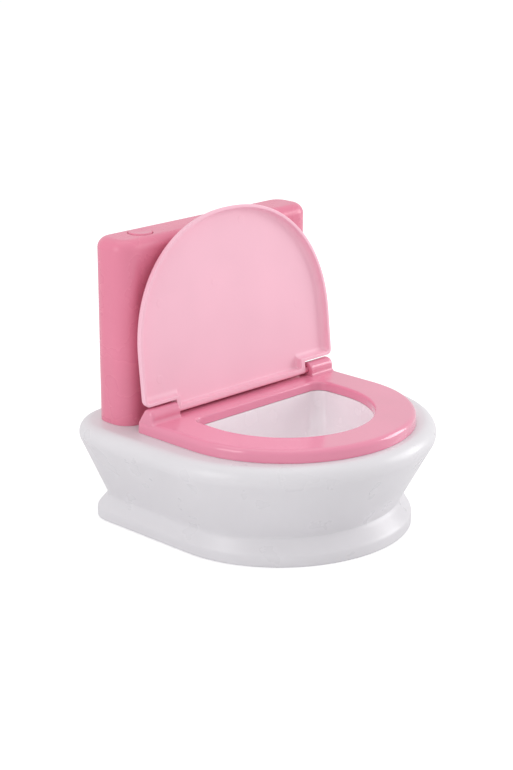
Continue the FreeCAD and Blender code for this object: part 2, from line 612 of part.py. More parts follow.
# ------------------------------------------- circuit board and its switch
brd = box("board_plate", -66.5, "Dims.tank_front + Dims.tank_wall + 1.2", 142, 34.5, 18, 1.6)
bh1 = cyl("board_hole_a", 1.1, 4, -64, 60, 141)
bh2 = cyl("board_hole_b", 1.1, 4, -35, 60, 141)
keep(cut("circuit_board", brd, fuse("board_holes", [bh1, bh2])), "circuit_board")
chip = fuse("board_parts_all", [box("chip", -44, 52, 143.6, 7, 6, 1.8), box("cap_a", -56, 50.5, 143.6, 3, 3, 4.2),
                               box("cap_b", -57, 64, 143.6, 4, 2, 1.2), box("header", -43, 62.2, 143.6, 6, 3, 4)])
keep(chip, "board_components")
swb = box("switch_case", "Dims.button_x - 3", "Dims.button_y - 3", 143.6, 6, 6, 3.0)
swp = cyl("switch_cap", 1.6, 0.7, "Dims.button_x", "Dims.button_y", 146.6)
keep(fuse("tact_switch", [swb, swp]), "tact_switch")
bs = []
for i, x in enumerate((-64, -35)):
    bs += [cyl("board_screw_%d" % i, 0.8, 4.5, x, 60, 139.2), cyl("board_screw_head_%d" % i, 1.9, 1.2, x, 60, 143.6)]
keep(fuse("board_screws", bs), "board_screws")

# ---------------------------------------------------------------- speaker
sp = spin("speaker", [
    ("0", "0", 0, 0), ("Dims.speaker_rad", "0", 14, 0), ("Dims.speaker_rad", "1.2", 14, 1.2), ("Dims.speaker_rad - 1.6", "2.2", 12.4, 2.2),
    ("9", "4.2", 9, 4.2), ("8", "4.2", 8, 4.2), ("8", "8.2", 8, 8.2), ("0", "8.2", 0, 8.2)],
    ("Dims.speaker_x", "Dims.tank_back - Dims.cover_skin", "Dims.speaker_z", Rotation(V(1, 0, 0), 90)))
keep(sp, "speaker")
cl = box("clamp_bar", "Dims.speaker_x - 22", "Dims.tank_back - Dims.cover_skin - 9.8", "Dims.speaker_z - 3.5", 44, 1.6, 7)
ch = [cyl("clamp_hole_%d" % i, 1.1, 4, "Dims.speaker_x + %s" % dx, "Dims.tank_back - Dims.cover_skin - 11", "Dims.speaker_z", Y_UP)
      for i, dx in enumerate(("(-18.5)", "18.5"))]
keep(cut("speaker_clamp", cl, fuse("clamp_holes", ch)), "speaker_clamp")
ss = []
for i, dx in enumerate(("(-18.5)", "18.5")):
    ss += [cyl("clamp_screw_%d" % i, 0.8, 5.8, "Dims.speaker_x + %s" % dx, "Dims.tank_back - Dims.cover_skin - 9.8", "Dims.speaker_z", Y_UP),
           cyl("clamp_screw_head_%d" % i, 1.9, 1.1, "Dims.speaker_x + %s" % dx, "Dims.tank_back - Dims.cover_skin - 10.9", "Dims.speaker_z", Y_UP)]
keep(fuse("speaker_screws", ss), "speaker_screws")

# ----------------------------------------------------------- power switch
pc = box("power_case_block", "Dims.knob_x - 6.4", "Dims.tank_back - Dims.cover_skin - 5.2", "Dims.knob_z - 4", 16, 5.0, 8)
pslot = box("power_case_slot", "Dims.knob_x - 3.2", "Dims.tank_back - Dims.cover_skin - 3.2", "Dims.knob_z - 1.9", 9.6, 4, 3.8)
keep(cut("power_switch", pc, pslot), "power_switch")
kb = box("knob_foot", "Dims.knob_x - 2.6", "Dims.tank_back - Dims.cover_skin - 3.0", "Dims.knob_z - 1.6", 5.2, 4.7, 3.2)
kg = [box("knob_groove_%d" % i, "Dims.knob_x + %s" % g, "Dims.tank_back - 0.85", "Dims.knob_z - 3", 0.5, 1, 6)
      for i, g in enumerate(("(-1.6)", "(-0.25)", "1.1"))]
keep(cut("power_slider", kb, fuse("knob_grooves", kg)), "power_slider")

# --------------------------------------------------- battery tray and cells
tr = box("tray_block", -31.5, "Dims.cell_y - 13.9", 2.4, 63, 27.8, 11.9)
ti = box("tray_hollow", -25.8, "Dims.cell_y - 11.6", 1.4, 51.6, 23.2, 11.7)
keep(cut("battery_tray", tr, ti), "battery_tray")
cells = []
for i, s_ in enumerate(("(-5.6)", "5.6")):
    flip = 1 if i == 0 else -1
    cells.append(cyl("cell_can_%d" % i, "Dims.cell_rad", "Dims.cell_len - 1", "-Dims.cell_len / 2 + %s" % (0 if flip == 1 else 1),
                     "Dims.cell_y + %s" % s_, 7.2, X_UP))
    cells.append(cyl("cell_tip_%d" % i, 1.8, 1.2, "Dims.cell_len / 2 - 1.1" if flip == 1 else "-Dims.cell_len / 2 - 0.1",
                     "Dims.cell_y + %s" % s_, 7.2, X_UP))
keep(fuse("battery_cells", cells), "battery_cells")
cp = []
for i, (x, y, wd) in enumerate((("(-25.6)", -11.0, 9.8), ("(-25.6)", 1.0, 9.8), ("25.1", -11.0, 21.8))):
    cp.append(box("contact_%d" % i, x.strip("()"), "Dims.cell_y + (%s)" % y, 3.0, 0.5, wd, 8.6))
    k = ["(-5.6)", "5.6"] if i == 2 else (["(-5.6)"] if i == 0 else ["5.6"])
for i, (x0, s_, ln) in enumerate((("(-25.1)", "(-5.6)", 2.9), ("(-25.1)", "5.6", 2.8), ("22.3", "(-5.6)", 2.8), ("22.2", "5.6", 2.9))):
    c_ = doc.addObject("Part::Cone", "contact_coil_%d" % i)
    c_.Radius1 = 3.4 if i in (0, 1) else 2.2
    c_.Radius2 = 2.2 if i in (0, 1) else 3.4
    c_.Height = ln
    c_.Placement = Placement(V(float(x0.strip("()")), 0, 7.2), X_UP)
    c_.setExpression("Placement.Base.x", x0.strip("()"))
    c_.setExpression("Placement.Base.y", "Dims.cell_y + %s" % s_)
    c_.setExpression("Placement.Base.z", "7.2")
    cp.append(c_)
keep(fuse("battery_contacts", cp), "battery_contacts")


# -------------------------------------------------------------- fasteners
def screw(x, y, z, length, axis):
    """pan-head screw: head at z, shank running along axis"""
    a = V(*axis)
    h, hr, rr = d("head_thick"), d("head_rad"), d("screw_rad")
    hd = Part.makeCylinder(hr, h, V(x, y, z), a)
    far = [e for e in hd.Edges if e.Length > 1 and abs((e.CenterOfMass - V(x, y, z)).dot(a)) < 1e-6]
    hd = hd.makeFillet(0.7, far)
    s_ = hd.fuse(Part.makeCylinder(rr, length, V(x, y, z) + a * h, a))
    u = V(1, 0, 0) if abs(a.x) < 0.5 else V(0, 1, 0)
    v = a.cross(u)
    for p, q in ((u, v), (v, u)):
        o = V(x, y, z) - p * 1.7 - q * 0.35 - a * 0.1
        pts = [o, o + p * 3.4, o + p * 3.4 + q * 0.7, o + q * 0.7, o]
        s_ = s_.cut(Part.Face(Part.makePolygon(pts)).extrude(a * 1.0))
    return s_


def group(label, items):
    f = feature(label, Part.makeCompound(items))
    return keep(f, label)


ht = d("head_thick")
group("plinth_screws", [screw(x, y, 7.0 - ht, 16.0, (0, 0, 1)) for x, y in POSTS])
group("seat_screws", [screw(x, y, zt - w - ht, w + 4.8, (0, 0, 1)) for x, y in SEAT_POSTS])
group("cistern_mount_screws", [screw(x, y, zt - w - ht, w + 10.0, (0, 0, 1)) for x, y in TANK_POSTS])
group("cover_screws", [screw(x, tb - 1.2 + ht, z, 8.0, (0, -1, 0)) for x, z in COVER_POSTS])
group("battery_door_screw", [screw(0.0, cy - 18.4, 2.0 - ht, 6.0, (0, 0, 1))])


# ------------------------------------------------------------------- leads
def lead(pts, rad, bend):
    """round wire along straight runs joined by tangent arcs"""
    path, p = [], [V(*q) for q in pts]
    start = p[0]
    for i in range(1, len(p) - 1):
        a, b = (p[i - 1] - p[i]), (p[i + 1] - p[i])
        la, lb = a.Length, b.Length
        a.normalize(); b.normalize()
        turn = math.pi - a.getAngle(b)
        r_ = min(bend, 0.45 * min(la, lb) / math.tan(turn / 2))
        k = r_ * math.tan(turn / 2)
        t0, t1 = p[i] + a * k, p[i] + b * k
        mid_dir = (a + b); mid_dir.normalize()
        mid = p[i] + mid_dir * (r_ / math.cos(turn / 2) - r_)
        path.append(Part.makeLine(start, t0))
        path.append(Part.Arc(t0, mid, t1).toShape())
        start = t1
    path.append(Part.makeLine(start, p[-1]))
    wire = Part.Wire(path)
    dirn = (p[1] - p[0]); dirn.normalize()
    prof_ = Part.Wire(Part.makeCircle(rad, p[0], dirn))
    return wire.makePipeShell([prof_], True, False)


group("battery_leads", [
    lead([(-1.0, 59.2, 14.6), (-1.0, 59.2, 40.0), (-1.0, 59.0, 75.0), (-18.0, 58.0, 98.0), (-33.0, 62.0, 120.0), (-40.5, 69.2, 134.0), (-40.5, 69.2, 145.6), (-40.5, 65.2, 145.6)], 0.6, 8.0)])
group("speaker_leads", [
    lead([(24.0, 62.0, 118.5), (20.0, 57.5, 124.0), (8.0, 56.0, 138.0), (-12.0, 58.0, 147.0), (-28.0, 62.5, 147.0), (-36.3, 63.7, 146.0)], 0.6, 9.0)])

doc.recompute()

# ------------------------------------------------------------------ checks
bad = []
for o in doc.Objects:
    st = [str(s_) for s_ in o.State]
    if any(("Invalid" in s_) or ("Error" in s_) for s_ in st):
        bad.append("%s %s" % (o.Name, st))
for o in NODES:
    s_ = o.Shape
    if s_.isNull() or not s_.isValid():
        bad.append("%s shape not valid" % o.Label)
    if not s_.Solids:
        bad.append("%s has no solid" % o.Label)
if bad:
    raise SystemExit("failed: " + "; ".join(bad))

os.makedirs("parts", exist_ok=True)
for f_ in os.listdir("parts"):
    if f_.endswith(".step"):
        os.remove(os.path.join("parts", f_))
for o in NODES:
    o.Shape.exportStep(os.path.join("parts", o.Label + ".step"))
    b_ = o.Shape.BoundBox
    print("%-22s solids %2d vol %9.1f  x %.2f..%.2f y %.2f..%.2f z %.2f..%.2f" % (
        o.Label, len(o.Shape.Solids), o.Shape.Volume, b_.XMin, b_.XMax, b_.YMin, b_.YMax, b_.ZMin, b_.ZMax))
print(len(NODES), "nodes")
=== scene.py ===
import math
import bpy
import bmesh
import numpy as np
from mathutils import Vector, Matrix


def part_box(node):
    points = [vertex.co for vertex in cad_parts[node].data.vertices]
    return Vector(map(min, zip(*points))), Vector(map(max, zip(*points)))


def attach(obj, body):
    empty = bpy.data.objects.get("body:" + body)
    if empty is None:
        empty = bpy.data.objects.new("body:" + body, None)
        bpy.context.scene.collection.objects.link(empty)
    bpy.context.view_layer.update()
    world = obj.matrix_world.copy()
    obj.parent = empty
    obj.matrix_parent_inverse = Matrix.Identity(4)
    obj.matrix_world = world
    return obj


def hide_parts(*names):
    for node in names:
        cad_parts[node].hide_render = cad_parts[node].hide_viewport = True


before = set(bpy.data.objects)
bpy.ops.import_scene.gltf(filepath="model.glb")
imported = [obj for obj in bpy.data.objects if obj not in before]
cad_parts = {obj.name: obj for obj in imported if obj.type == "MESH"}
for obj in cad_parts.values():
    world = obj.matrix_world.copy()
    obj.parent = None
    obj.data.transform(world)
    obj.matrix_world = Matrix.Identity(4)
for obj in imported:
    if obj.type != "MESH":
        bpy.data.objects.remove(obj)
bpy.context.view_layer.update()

SCENE = bpy.context.scene
MM = 0.001
cos, sin, pi, sqrt = math.cos, math.sin, math.pi, math.sqrt


# ------------------------------------------------------------ mesh helpers
class Shell:
    """collects points in millimetres and faces"""

    def __init__(self):
        self.v = []
        self.f = []

    def ring(self, pts):
        i = len(self.v)
        self.v.extend([tuple(p) for p in pts])
        return list(range(i, i + len(pts)))

    def loft(self, rings, closed=False):
        ids = [self.ring(r) for r in rings]
        pairs = list(zip(ids, ids[1:])) + ([(ids[-1], ids[0])] if closed else [])
        for a, b in pairs:
            n = len(a)
            for i in range(n):
                j = (i + 1) % n
                self.f.append((a[i], a[j], b[j], b[i]))
        return ids

    def fan(self, ring, point, flip=False):
        c = len(self.v)
        self.v.append(tuple(point))
        n = len(ring)
        for i in range(n):
            j = (i + 1) % n
            self.f.append((ring[i], ring[j], c) if not flip else (ring[j], ring[i], c))

    def lathe(self, prof, centre, axis="z", seg=64):
        """prof: (radius, height) pairs; radius 0 closes the end"""
        rings = []
        for r, h in prof:
            rings.append((r, h))
        ids = []
        cx, cy, cz = centre

        def put(a, b, h):
            if axis == "z":
                return (cx + a, cy + b, cz + h)
            if axis == "x":
                return (cx + h, cy + a, cz + b)
            return (cx + b, cy + h, cz + a)

        for r, h in rings:
            if r < 1e-9:
                self.v.append(put(0, 0, h))
                ids.append([len(self.v) - 1])
            else:
                ids.append(self.ring([put(r * cos(2 * pi * k / seg), r * sin(2 * pi * k / seg), h) for k in range(seg)]))
        for a, b in zip(ids, ids[1:]):
            if len(a) == 1 and len(b) == 1:
                continue
            for k in range(seg):
                j = (k + 1) % seg
                if len(a) == 1:
                    self.f.append((a[0], b[k], b[j]))
                elif len(b) == 1:
                    self.f.append((a[k], a[j], b[0]))
                else:
                    self.f.append((a[k], a[j], b[j], b[k]))


def bare(name, shell):
    me = bpy.data.meshes.new(name)
    me.from_pydata([(x * MM, y * MM, z * MM) for x, y, z in shell.v], [], shell.f)
    bm = bmesh.new()
    bm.from_mesh(me)
    bmesh.ops.remove_doubles(bm, verts=bm.verts, dist=1e-7)
    bmesh.ops.recalc_face_normals(bm, faces=bm.faces)
    bm.to_mesh(me)
    bm.free()
    ob = bpy.data.objects.new(name, me)
    SCENE.collection.objects.link(ob)
    return ob


def boolean(ob, other, op="DIFFERENCE"):
    mod = ob.modifiers.new("cut", "BOOLEAN")
    mod.operation = op
    mod.solver = "EXACT"
    mod.object = other
    bpy.context.view_layer.update()
    me = bpy.data.meshes.new_from_object(ob.evaluated_get(bpy.context.evaluated_depsgraph_get()))
    ob.modifiers.clear()
    ob.data = me
    bpy.data.objects.remove(other)
    return ob


def finish_piece(ob, body, mat, nodes=(), sharp=42.0, weight=True):
    me = ob.data
    me.materials.clear()
    me.materials.append(mat)
    me.polygons.foreach_set("material_index", [0] * len(me.polygons))
    me.polygons.foreach_set("use_smooth", [True] * len(me.polygons))
    bm = bmesh.new()
    bm.from_mesh(me)
    for e in bm.edges:
        e.smooth = not (len(e.link_faces) == 2 and e.calc_face_angle(0.0) > math.radians(sharp))
    bm.to_mesh(me)
    bm.free()
    me.update()
    if weight:
        w = ob.modifiers.new("weighted", "WEIGHTED_NORMAL")
        w.keep_sharp = True
        w.mode = "FACE_AREA_WITH_ANGLE"
    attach(ob, body)
    if nodes:
        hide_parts(*nodes)
    return ob


# ------------------------------------------------------------- dimensions
ZT, ZW, RE, WALL = 60.2, 14.5, 7.36, 2.6
BODY = dict(half=89.65, join=-5.35, front=83.8, back=89.14, corner=34.3)
WAIST = dict(half=71.35, front=63.5, back=75.94, corner=17.0)
FOOT = dict(half=75.25, front=71.9, back=82.6, corner=19.0)
NF, NS, NC, NB = 168, 22, 26, 36


def dloop(half, join, semi, back, corner, z, inset=0.0):
    """D outline, counter-clockwise from the left end of the front curve"""
    a, b, yb, r = half - inset, semi - inset, back - inset, max(corner - inset, 0.6)
    p = []
    for i in range(NF):
        t = pi + pi * i / NF
        p.append((a * cos(t), join + b * sin(t), z))
    for i in range(NS):
        p.append((a, join + (yb - r - join) * i / NS, z))
    for i in range(NC):
        t = 0.5 * pi * i / NC
        p.append((a - r + r * cos(t), yb - r + r * sin(t), z))
    for i in range(NB):
        p.append(((a - r) * (1 - 2 * i / NB), yb, z))
    for i in range(NC):
        t = 0.5 * pi + 0.5 * pi * i / NC
        p.append((-(a - r) + r * cos(t), yb - r + r * sin(t), z))
    for i in range(NS):
        p.append((-a, yb - r - (yb - r - join) * i / NS, z))
    return np.array(p)


def normals(loop):
    t = np.roll(loop, -1, 0) - np.roll(loop, 1, 0)
    n = np.stack([t[:, 1], -t[:, 0], np.zeros(len(t))], 1)
    return n / np.linalg.norm(n, axis=1, keepdims=True)


def slope(wide, narrow):
    m = 0.5
    for _ in range(30):
        c, s = 1 / math.hypot(1, m), m / math.hypot(1, m)
        m = ((wide - RE + RE * c) - narrow) / ((ZT - RE - RE * s) - ZW)
    return m


MS, MF, MB = slope(BODY["half"], WAIST["half"]), slope(BODY["front"], WAIST["front"]), slope(BODY["back"], WAIST["back"])


def bodyloop(z, inset=0.0):
    k = z - ZW
    return dloop(WAIST["half"] + MS * k, BODY["join"], WAIST["front"] + MF * k, WAIST["back"] + MB * k,
                 WAIST["corner"] + (BODY["corner"] + 3.0 - WAIST["corner"]) * k / (ZT - ZW), z, inset)


HOLE = (51.6, -3.3, 53.9, 16.1, 7.5)
SEAT = (74.2, -8.0, 71.9, 37.4, 3.4)


def holeloop(z, grow=0.0):
    return dloop(*HOLE, z, -grow)


def seatloop(z, inset=0.0):
    return dloop(*SEAT, z, inset)


def mix(a, b, t):
    return a * (1 - t) + b * t


def setz(loop, z):
    q = loop.copy()
    q[:, 2] = z
    return q


# --------------------------------------------------------------- materials
def plastic(name, rgb, rough=0.30, spread=0.035, tint=None, coat=0.0, peel=0.35, sss=0.0, tile=1.0):
    """moulded plastic: faint colour clouding, gloss that varies, moulding texture, hairline rubs in the gloss, and
    convex edges painted paler as a painted highlight and made duller
    """
    mat = bpy.data.materials.new(name)
    mat.use_nodes = True
    nt = mat.node_tree
    nt.nodes.clear()
    new, link = nt.nodes.new, nt.links.new
    out = new("ShaderNodeOutputMaterial")
    b = new("ShaderNodeBsdfPrincipled")
    link(b.outputs[0], out.inputs[0])
    tc = new("ShaderNodeTexCoord")
    obj = tc.outputs["Object"]
    cloud = new("ShaderNodeTexNoise")
    cloud.inputs["Scale"].default_value = 26.0 * tile
    cloud.inputs["Detail"].default_value = 1.5
    cloud.inputs["Roughness"].default_value = 0.55
    link(obj, cloud.inputs["Vector"])
    ramp = new("ShaderNodeValToRGB")
    lo = [max(0.0, c * (1 - spread)) for c in rgb]
    hi = [min(1.0, c * (1 + spread)) for c in rgb]
    if tint is not None:
        hi = [min(1.0, h * t) for h, t in zip(hi, tint)]
    ramp.color_ramp.elements[0].position = 0.34
    ramp.color_ramp.elements[0].color = lo + [1]
    ramp.color_ramp.elements[1].position = 0.66
    ramp.color_ramp.elements[1].color = hi + [1]
    link(cloud.outputs["Fac"], ramp.inputs["Fac"])
    # convex edges: painted a little paler as a painted highlight, and made duller
    geo = new("ShaderNodeNewGeometry")
    edge = new("ShaderNodeMapRange")
    edge.inputs["From Min"].default_value = 0.58
    edge.inputs["From Max"].default_value = 0.72
    edge.inputs["To Min"].default_value = 0.0
    edge.inputs["To Max"].default_value = 0.10
    link(geo.outputs["Pointiness"], edge.inputs["Value"])
    # mix towards a paler colour on convex edges: painted edge highlight
    edge_highlight_mix = new("ShaderNodeMix")
    edge_highlight_mix.data_type = "RGBA"
    link(edge.outputs["Result"], edge_highlight_mix.inputs[0])
    link(ramp.outputs["Color"], edge_highlight_mix.inputs[6])
    edge_highlight_mix.inputs[7].default_value = [min(1.0, c * 0.55 + 0.45) for c in rgb] + [1]
    link(edge_highlight_mix.outputs[2], b.inputs["Base Color"])
    # gloss: broad patches and hairline rubs
    patch = new("ShaderNodeTexNoise")
    patch.inputs["Scale"].default_value = 60.0 * tile
    patch.inputs["Detail"].default_value = 1.5
    link(obj, patch.inputs["Vector"])
    mp = new("ShaderNodeMapping")
    mp.inputs["Scale"].default_value = (240.0, 20.0, 240.0)
    mp.inputs["Rotation"].default_value = (0.35, 0.2, 0.6)
    link(obj, mp.inputs["Vector"])
    hair = new("ShaderNodeTexNoise")
    hair.inputs["Scale"].default_value = 1.0
    hair.inputs["Detail"].default_value = 3.0
    link(mp.outputs["Vector"], hair.inputs["Vector"])
    hr = new("ShaderNodeMapRange")
    hr.inputs["From Min"].default_value = 0.50
    hr.inputs["From Max"].default_value = 0.80
    hr.inputs["To Min"].default_value = 0.0
    hr.inputs["To Max"].default_value = 0.035
    link(hair.outputs["Fac"], hr.inputs["Value"])
    rr = new("ShaderNodeMapRange")
    rr.inputs["From Min"].default_value = 0.3
    rr.inputs["From Max"].default_value = 0.7
    rr.inputs["To Min"].default_value = max(0.04, rough - 0.045)
    rr.inputs["To Max"].default_value = rough + 0.045
    link(patch.outputs["Fac"], rr.inputs["Value"])
    add = new("ShaderNodeMath")
    add.operation = "ADD"
    link(rr.outputs["Result"], add.inputs[0])
    link(hr.outputs["Result"], add.inputs[1])
    add2 = new("ShaderNodeMath")
    add2.operation = "ADD"
    add2.use_clamp = True
    link(add.outputs[0], add2.inputs[0])
    link(edge.outputs["Result"], add2.inputs[1])
    link(add2.outputs[0], b.inputs["Roughness"])
    # moulding texture
    fine = new("ShaderNodeTexNoise")
    fine.inputs["Scale"].default_value = 260.0
    fine.inputs["Detail"].default_value = 0.0
    link(obj, fine.inputs["Vector"])
    wave = new("ShaderNodeTexNoise")
    wave.inputs["Scale"].default_value = 70.0
    wave.inputs["Detail"].default_value = 1.0
    link(obj, wave.inputs["Vector"])
    b1 = new("ShaderNodeBump")
    b1.inputs["Strength"].default_value = peel
    b1.inputs["Distance"].default_value = 0.000003
    link(fine.outputs["Fac"], b1.inputs["Height"])
    b2 = new("ShaderNodeBump")
    b2.inputs["Strength"].default_value = peel
    b2.inputs["Distance"].default_value = 0.00004
    link(wave.outputs["Fac"], b2.inputs["Height"])
    link(b1.outputs["Normal"], b2.inputs["Normal"])
    link(b2.outputs["Normal"], b.inputs["Normal"])
    b.inputs["IOR"].default_value = 1.49
    if coat:
        b.inputs["Coat Weight"].default_value = coat
        b.inputs["Coat Roughness"].default_value = 0.08
    if sss:
        b.inputs["Subsurface Weight"].default_value = sss
        b.inputs["Subsurface Radius"].default_value = (1.0, 0.45, 0.5)
        b.inputs["Subsurface Scale"].default_value = 0.0025
    return mat


def metal(name, rgb, rough=0.25, grain=(400, 400, 30), dark=0.75):
    mat = bpy.data.materials.new(name)
    mat.use_nodes = True
    nt = mat.node_tree
    nt.nodes.clear()
    new, link = nt.nodes.new, nt.links.new
    out = new("ShaderNodeOutputMaterial")
    b = new("ShaderNodeBsdfPrincipled")
    link(b.outputs[0], out.inputs[0])
    b.inputs["Metallic"].default_value = 1.0
    tc = new("ShaderNodeTexCoord")
    mp = new("ShaderNodeMapping")
    mp.inputs["Scale"].default_value = grain
    link(tc.outputs["Object"], mp.inputs["Vector"])
    n = new("ShaderNodeTexNoise")
    n.inputs["Scale"].default_value = 3.0
    n.inputs["Detail"].default_value = 6.0
    link(mp.outputs["Vector"], n.inputs["Vector"])
    ramp = new("ShaderNodeValToRGB")
    ramp.color_ramp.elements[0].color = [c * dark for c in rgb] + [1]
    ramp.color_ramp.elements[0].position = 0.3
    ramp.color_ramp.elements[1].color = list(rgb) + [1]
    ramp.color_ramp.elements[1].position = 0.62
    link(n.outputs["Fac"], ramp.inputs["Fac"])
    link(ramp.outputs["Color"], b.inputs["Base Color"])
    mr = new("ShaderNodeMapRange")
    mr.inputs["From Min"].default_value = 0.3
    mr.inputs["From Max"].default_value = 0.7
    mr.inputs["To Min"].default_value = rough + 0.15
    mr.inputs["To Max"].default_value = rough
    link(n.outputs["Fac"], mr.inputs["Value"])
    link(mr.outputs["Result"], b.inputs["Roughness"])
    bp = new("ShaderNodeBump")
    bp.inputs["Strength"].default_value = 0.3
    bp.inputs["Distance"].default_value = 0.00003
    link(n.outputs["Fac"], bp.inputs["Height"])
    link(bp.outputs["Normal"], b.inputs["Normal"])
    return mat


def board_finish(name):
    """green solder mask with faint copper runs and speckle"""
    mat = bpy.data.materials.new(name)
    mat.use_nodes = True
    nt = mat.node_tree
    nt.nodes.clear()
    new, link = nt.nodes.new, nt.links.new
    out = new("ShaderNodeOutputMaterial")
    b = new("ShaderNodeBsdfPrincipled")
    link(b.outputs[0], out.inputs[0])
    tc = new("ShaderNodeTexCoord")
    br = new("ShaderNodeTexBrick")
    br.inputs["Scale"].default_value = 260.0
    br.inputs["Mortar Size"].default_value = 0.05
    br.inputs["Color1"].default_value = (0.012, 0.10, 0.045, 1)
    br.inputs["Color2"].default_value = (0.010, 0.085, 0.04, 1)
    br.inputs["Mortar"].default_value = (0.03, 0.20, 0.07, 1)
    link(tc.outputs["Object"], br.inputs["Vector"])
    n = new("ShaderNodeTexNoise")
    n.inputs["Scale"].default_value = 900.0
    link(tc.outputs["Object"], n.inputs["Vector"])
    mx = new("ShaderNodeMix")
    mx.data_type = "RGBA"
    mx.blend_type = "MULTIPLY"
    mx.inputs[0].default_value = 0.3
    link(br.outputs["Color"], mx.inputs[6])
    link(n.outputs["Color"], mx.inputs[7])
    link(mx.outputs[2], b.inputs["Base Color"])
    mr = new("ShaderNodeMapRange")
    mr.inputs["To Min"].default_value = 0.22
    mr.inputs["To Max"].default_value = 0.5
    link(n.outputs["Fac"], mr.inputs["Value"])
    link(mr.outputs["Result"], b.inputs["Roughness"])
    bp = new("ShaderNodeBump")
    bp.inputs["Strength"].default_value = 0.4
    bp.inputs["Distance"].default_value = 0.00004
    link(br.outputs["Fac"], bp.inputs["Height"])
    link(bp.outputs["Normal"], b.inputs["Normal"])
    return mat


M_WHITE = plastic("white_moulding", (0.755, 0.735, 0.765), rough=0.30, spread=0.012, peel=0.30)
# bowl white with a pinkish tint, made brighter than the body white: painted light against the shade inside the bowl
M_BOWL_PAINTED_BRIGHTER = plastic("bowl_moulding", (0.92, 0.87, 0.90), rough=0.24, spread=0.012, peel=0.30)
M_SEAT = plastic("seat_moulding", (0.82, 0.27, 0.40), rough=0.17, spread=0.02, peel=0.30, coat=0.6)
# lid pink painted paler than the seat's same pink: painted light standing in for the brightly lit, washed-out lid
# panel
M_LID_PAINTED_PALER = plastic("lid_moulding", (0.96, 0.545, 0.66), rough=0.36, spread=0.018, peel=0.30)
M_TANK = plastic("cistern_moulding", (0.80, 0.235, 0.35), rough=0.27, spread=0.02, peel=0.30)
M_BUTTON = plastic("button_moulding", (0.79, 0.24, 0.36), rough=0.24, spread=0.02, peel=0.25)
M_BLACK = plastic("black_moulding", (0.018, 0.018, 0.020), rough=0.42, spread=0.25, peel=0.6)
M_TRAY = plastic("tray_moulding", (0.70, 0.70, 0.70), rough=0.42, spread=0.04, peel=0.5)
M_JACKET = plastic("cell_wrap", (0.10, 0.17, 0.30), rough=0.28, spread=0.12, peel=0.3)
M_LEAD = plastic("lead_jacket", (0.42, 0.03, 0.03), rough=0.45, spread=0.10, peel=0.5)
M_GREY = plastic("component_cases", (0.05, 0.05, 0.055), rough=0.38, spread=0.35, peel=0.5, tile=6.0)
M_STEEL = metal("screw_steel", (0.62, 0.62, 0.63), 0.24)
M_SPRING = metal("spring_wire", (0.58, 0.58, 0.60), 0.2, (900, 900, 200))
M_CONTACT = metal("nickel_contacts", (0.66, 0.63, 0.56), 0.2)
M_SPEAKER = metal("speaker_frame", (0.40, 0.40, 0.42), 0.34, (200, 30, 200))
M_BOARD = board_finish("solder_mask")


# ------------------------------------------------------------- white body
def cove(d):
    """soft hollow round where the wall meets the foot"""
    return 0.55 * max(0.0, 1 - d / 2.4) ** 2


def make_base():
    W, T = bodyloop(ZW), bodyloop(ZT)
    n = normals(T)
    m = ((T - W) * n).sum(1) / (ZT - ZW)
    c = RE * (m + np.sqrt(1 + m * m))
    ph0 = -np.arctan(m)
    z0 = ZT - RE + RE * np.sin(ph0)
    k0 = (z0 - ZW) / (ZT - ZW)
    start = W + (T - W) * k0[:, None]
    start[:, 2] = z0
    rows = []
    rows.append(bodyloop(ZW, WALL + 0.3))
    rows.append(bodyloop(ZW, 0.9))
    rows.append(bodyloop(ZW, 0.06 - cove(0.0)))
    for d in (0.04, 0.25, 0.5, 0.8, 1.2, 1.6, 2.0, 2.5):
        rows.append(bodyloop(ZW + d, -cove(d)))
    low = rows[-1]
    for t in np.linspace(0, 1, 15)[1:]:
        rows.append(mix(low, start, t))
    base_off = -c + RE * np.cos(ph0)
    for t in np.linspace(0, 1, 22)[1:]:
        ph = ph0 + (0.5 * pi - ph0) * t
        p = start + n * ((-c + RE * np.cos(ph)) - base_off)[:, None]
        p[:, 2] = ZT - RE + RE * np.sin(ph)
        rows.append(p)
    edge, hole = rows[-1], holeloop(ZT, 1.9)
    for t in (0.04, 0.10, 0.2, 0.35, 0.5, 0.65, 0.8, 0.92):
        rows.append(mix(edge, hole, t))
    rows.append(holeloop(ZT, 2.2))
    rows.append(holeloop(ZT - 0.1, 1.98))
    rows.append(holeloop(ZT - 0.3, 1.9))
    rows.append(holeloop(ZT - WALL, 1.9))
    rows.append(mix(holeloop(ZT - WALL, 1.9), bodyloop(ZT - WALL, WALL + 8.4), 0.5))
    rows.append(bodyloop(ZT - WALL, WALL + 8.4))
    zk = ZT - RE - 2.4
    top = bodyloop(ZT - WALL, WALL + 8.4)
    side = bodyloop(zk, WALL + 0.3)
    rows.append(mix(top, side, 0.45) + normals(side) * 1.0)
    rows.append(side)
    bottom = bodyloop(ZW, WALL + 0.3)
    rows.append(mix(side, bottom, 0.5))
    s = Shell()
    s.loft(rows, closed=True)
    ob = bare("body_shell", s)
    return finish_piece(ob, "potty", M_WHITE, ("base_shell",))


def footloop(z, inset=0.0):
    soft = lambda d: 0.5 * (d + sqrt(d * d + 0.8))
    f = 1 - soft(z - 6.3) / soft(ZW - 6.3)
    g = lambda k: WAIST[k] + (FOOT[k] - WAIST[k]) * f
    return dloop(g("half"), BODY["join"], g("front"), g("back"), g("corner"), z, inset)


POSTS = [(-58.0, 52.0), (58.0, 52.0), (-52.0, -38.0), (52.0, -38.0)]


def cyl_cutter(x, y, z0, z1, r, seg=48):
    s = Shell()
    s.lathe([(0, z0), (r, z0), (r, z1), (0, z1)], (x, y, 0), "z", seg)
    return bare("cutter", s)


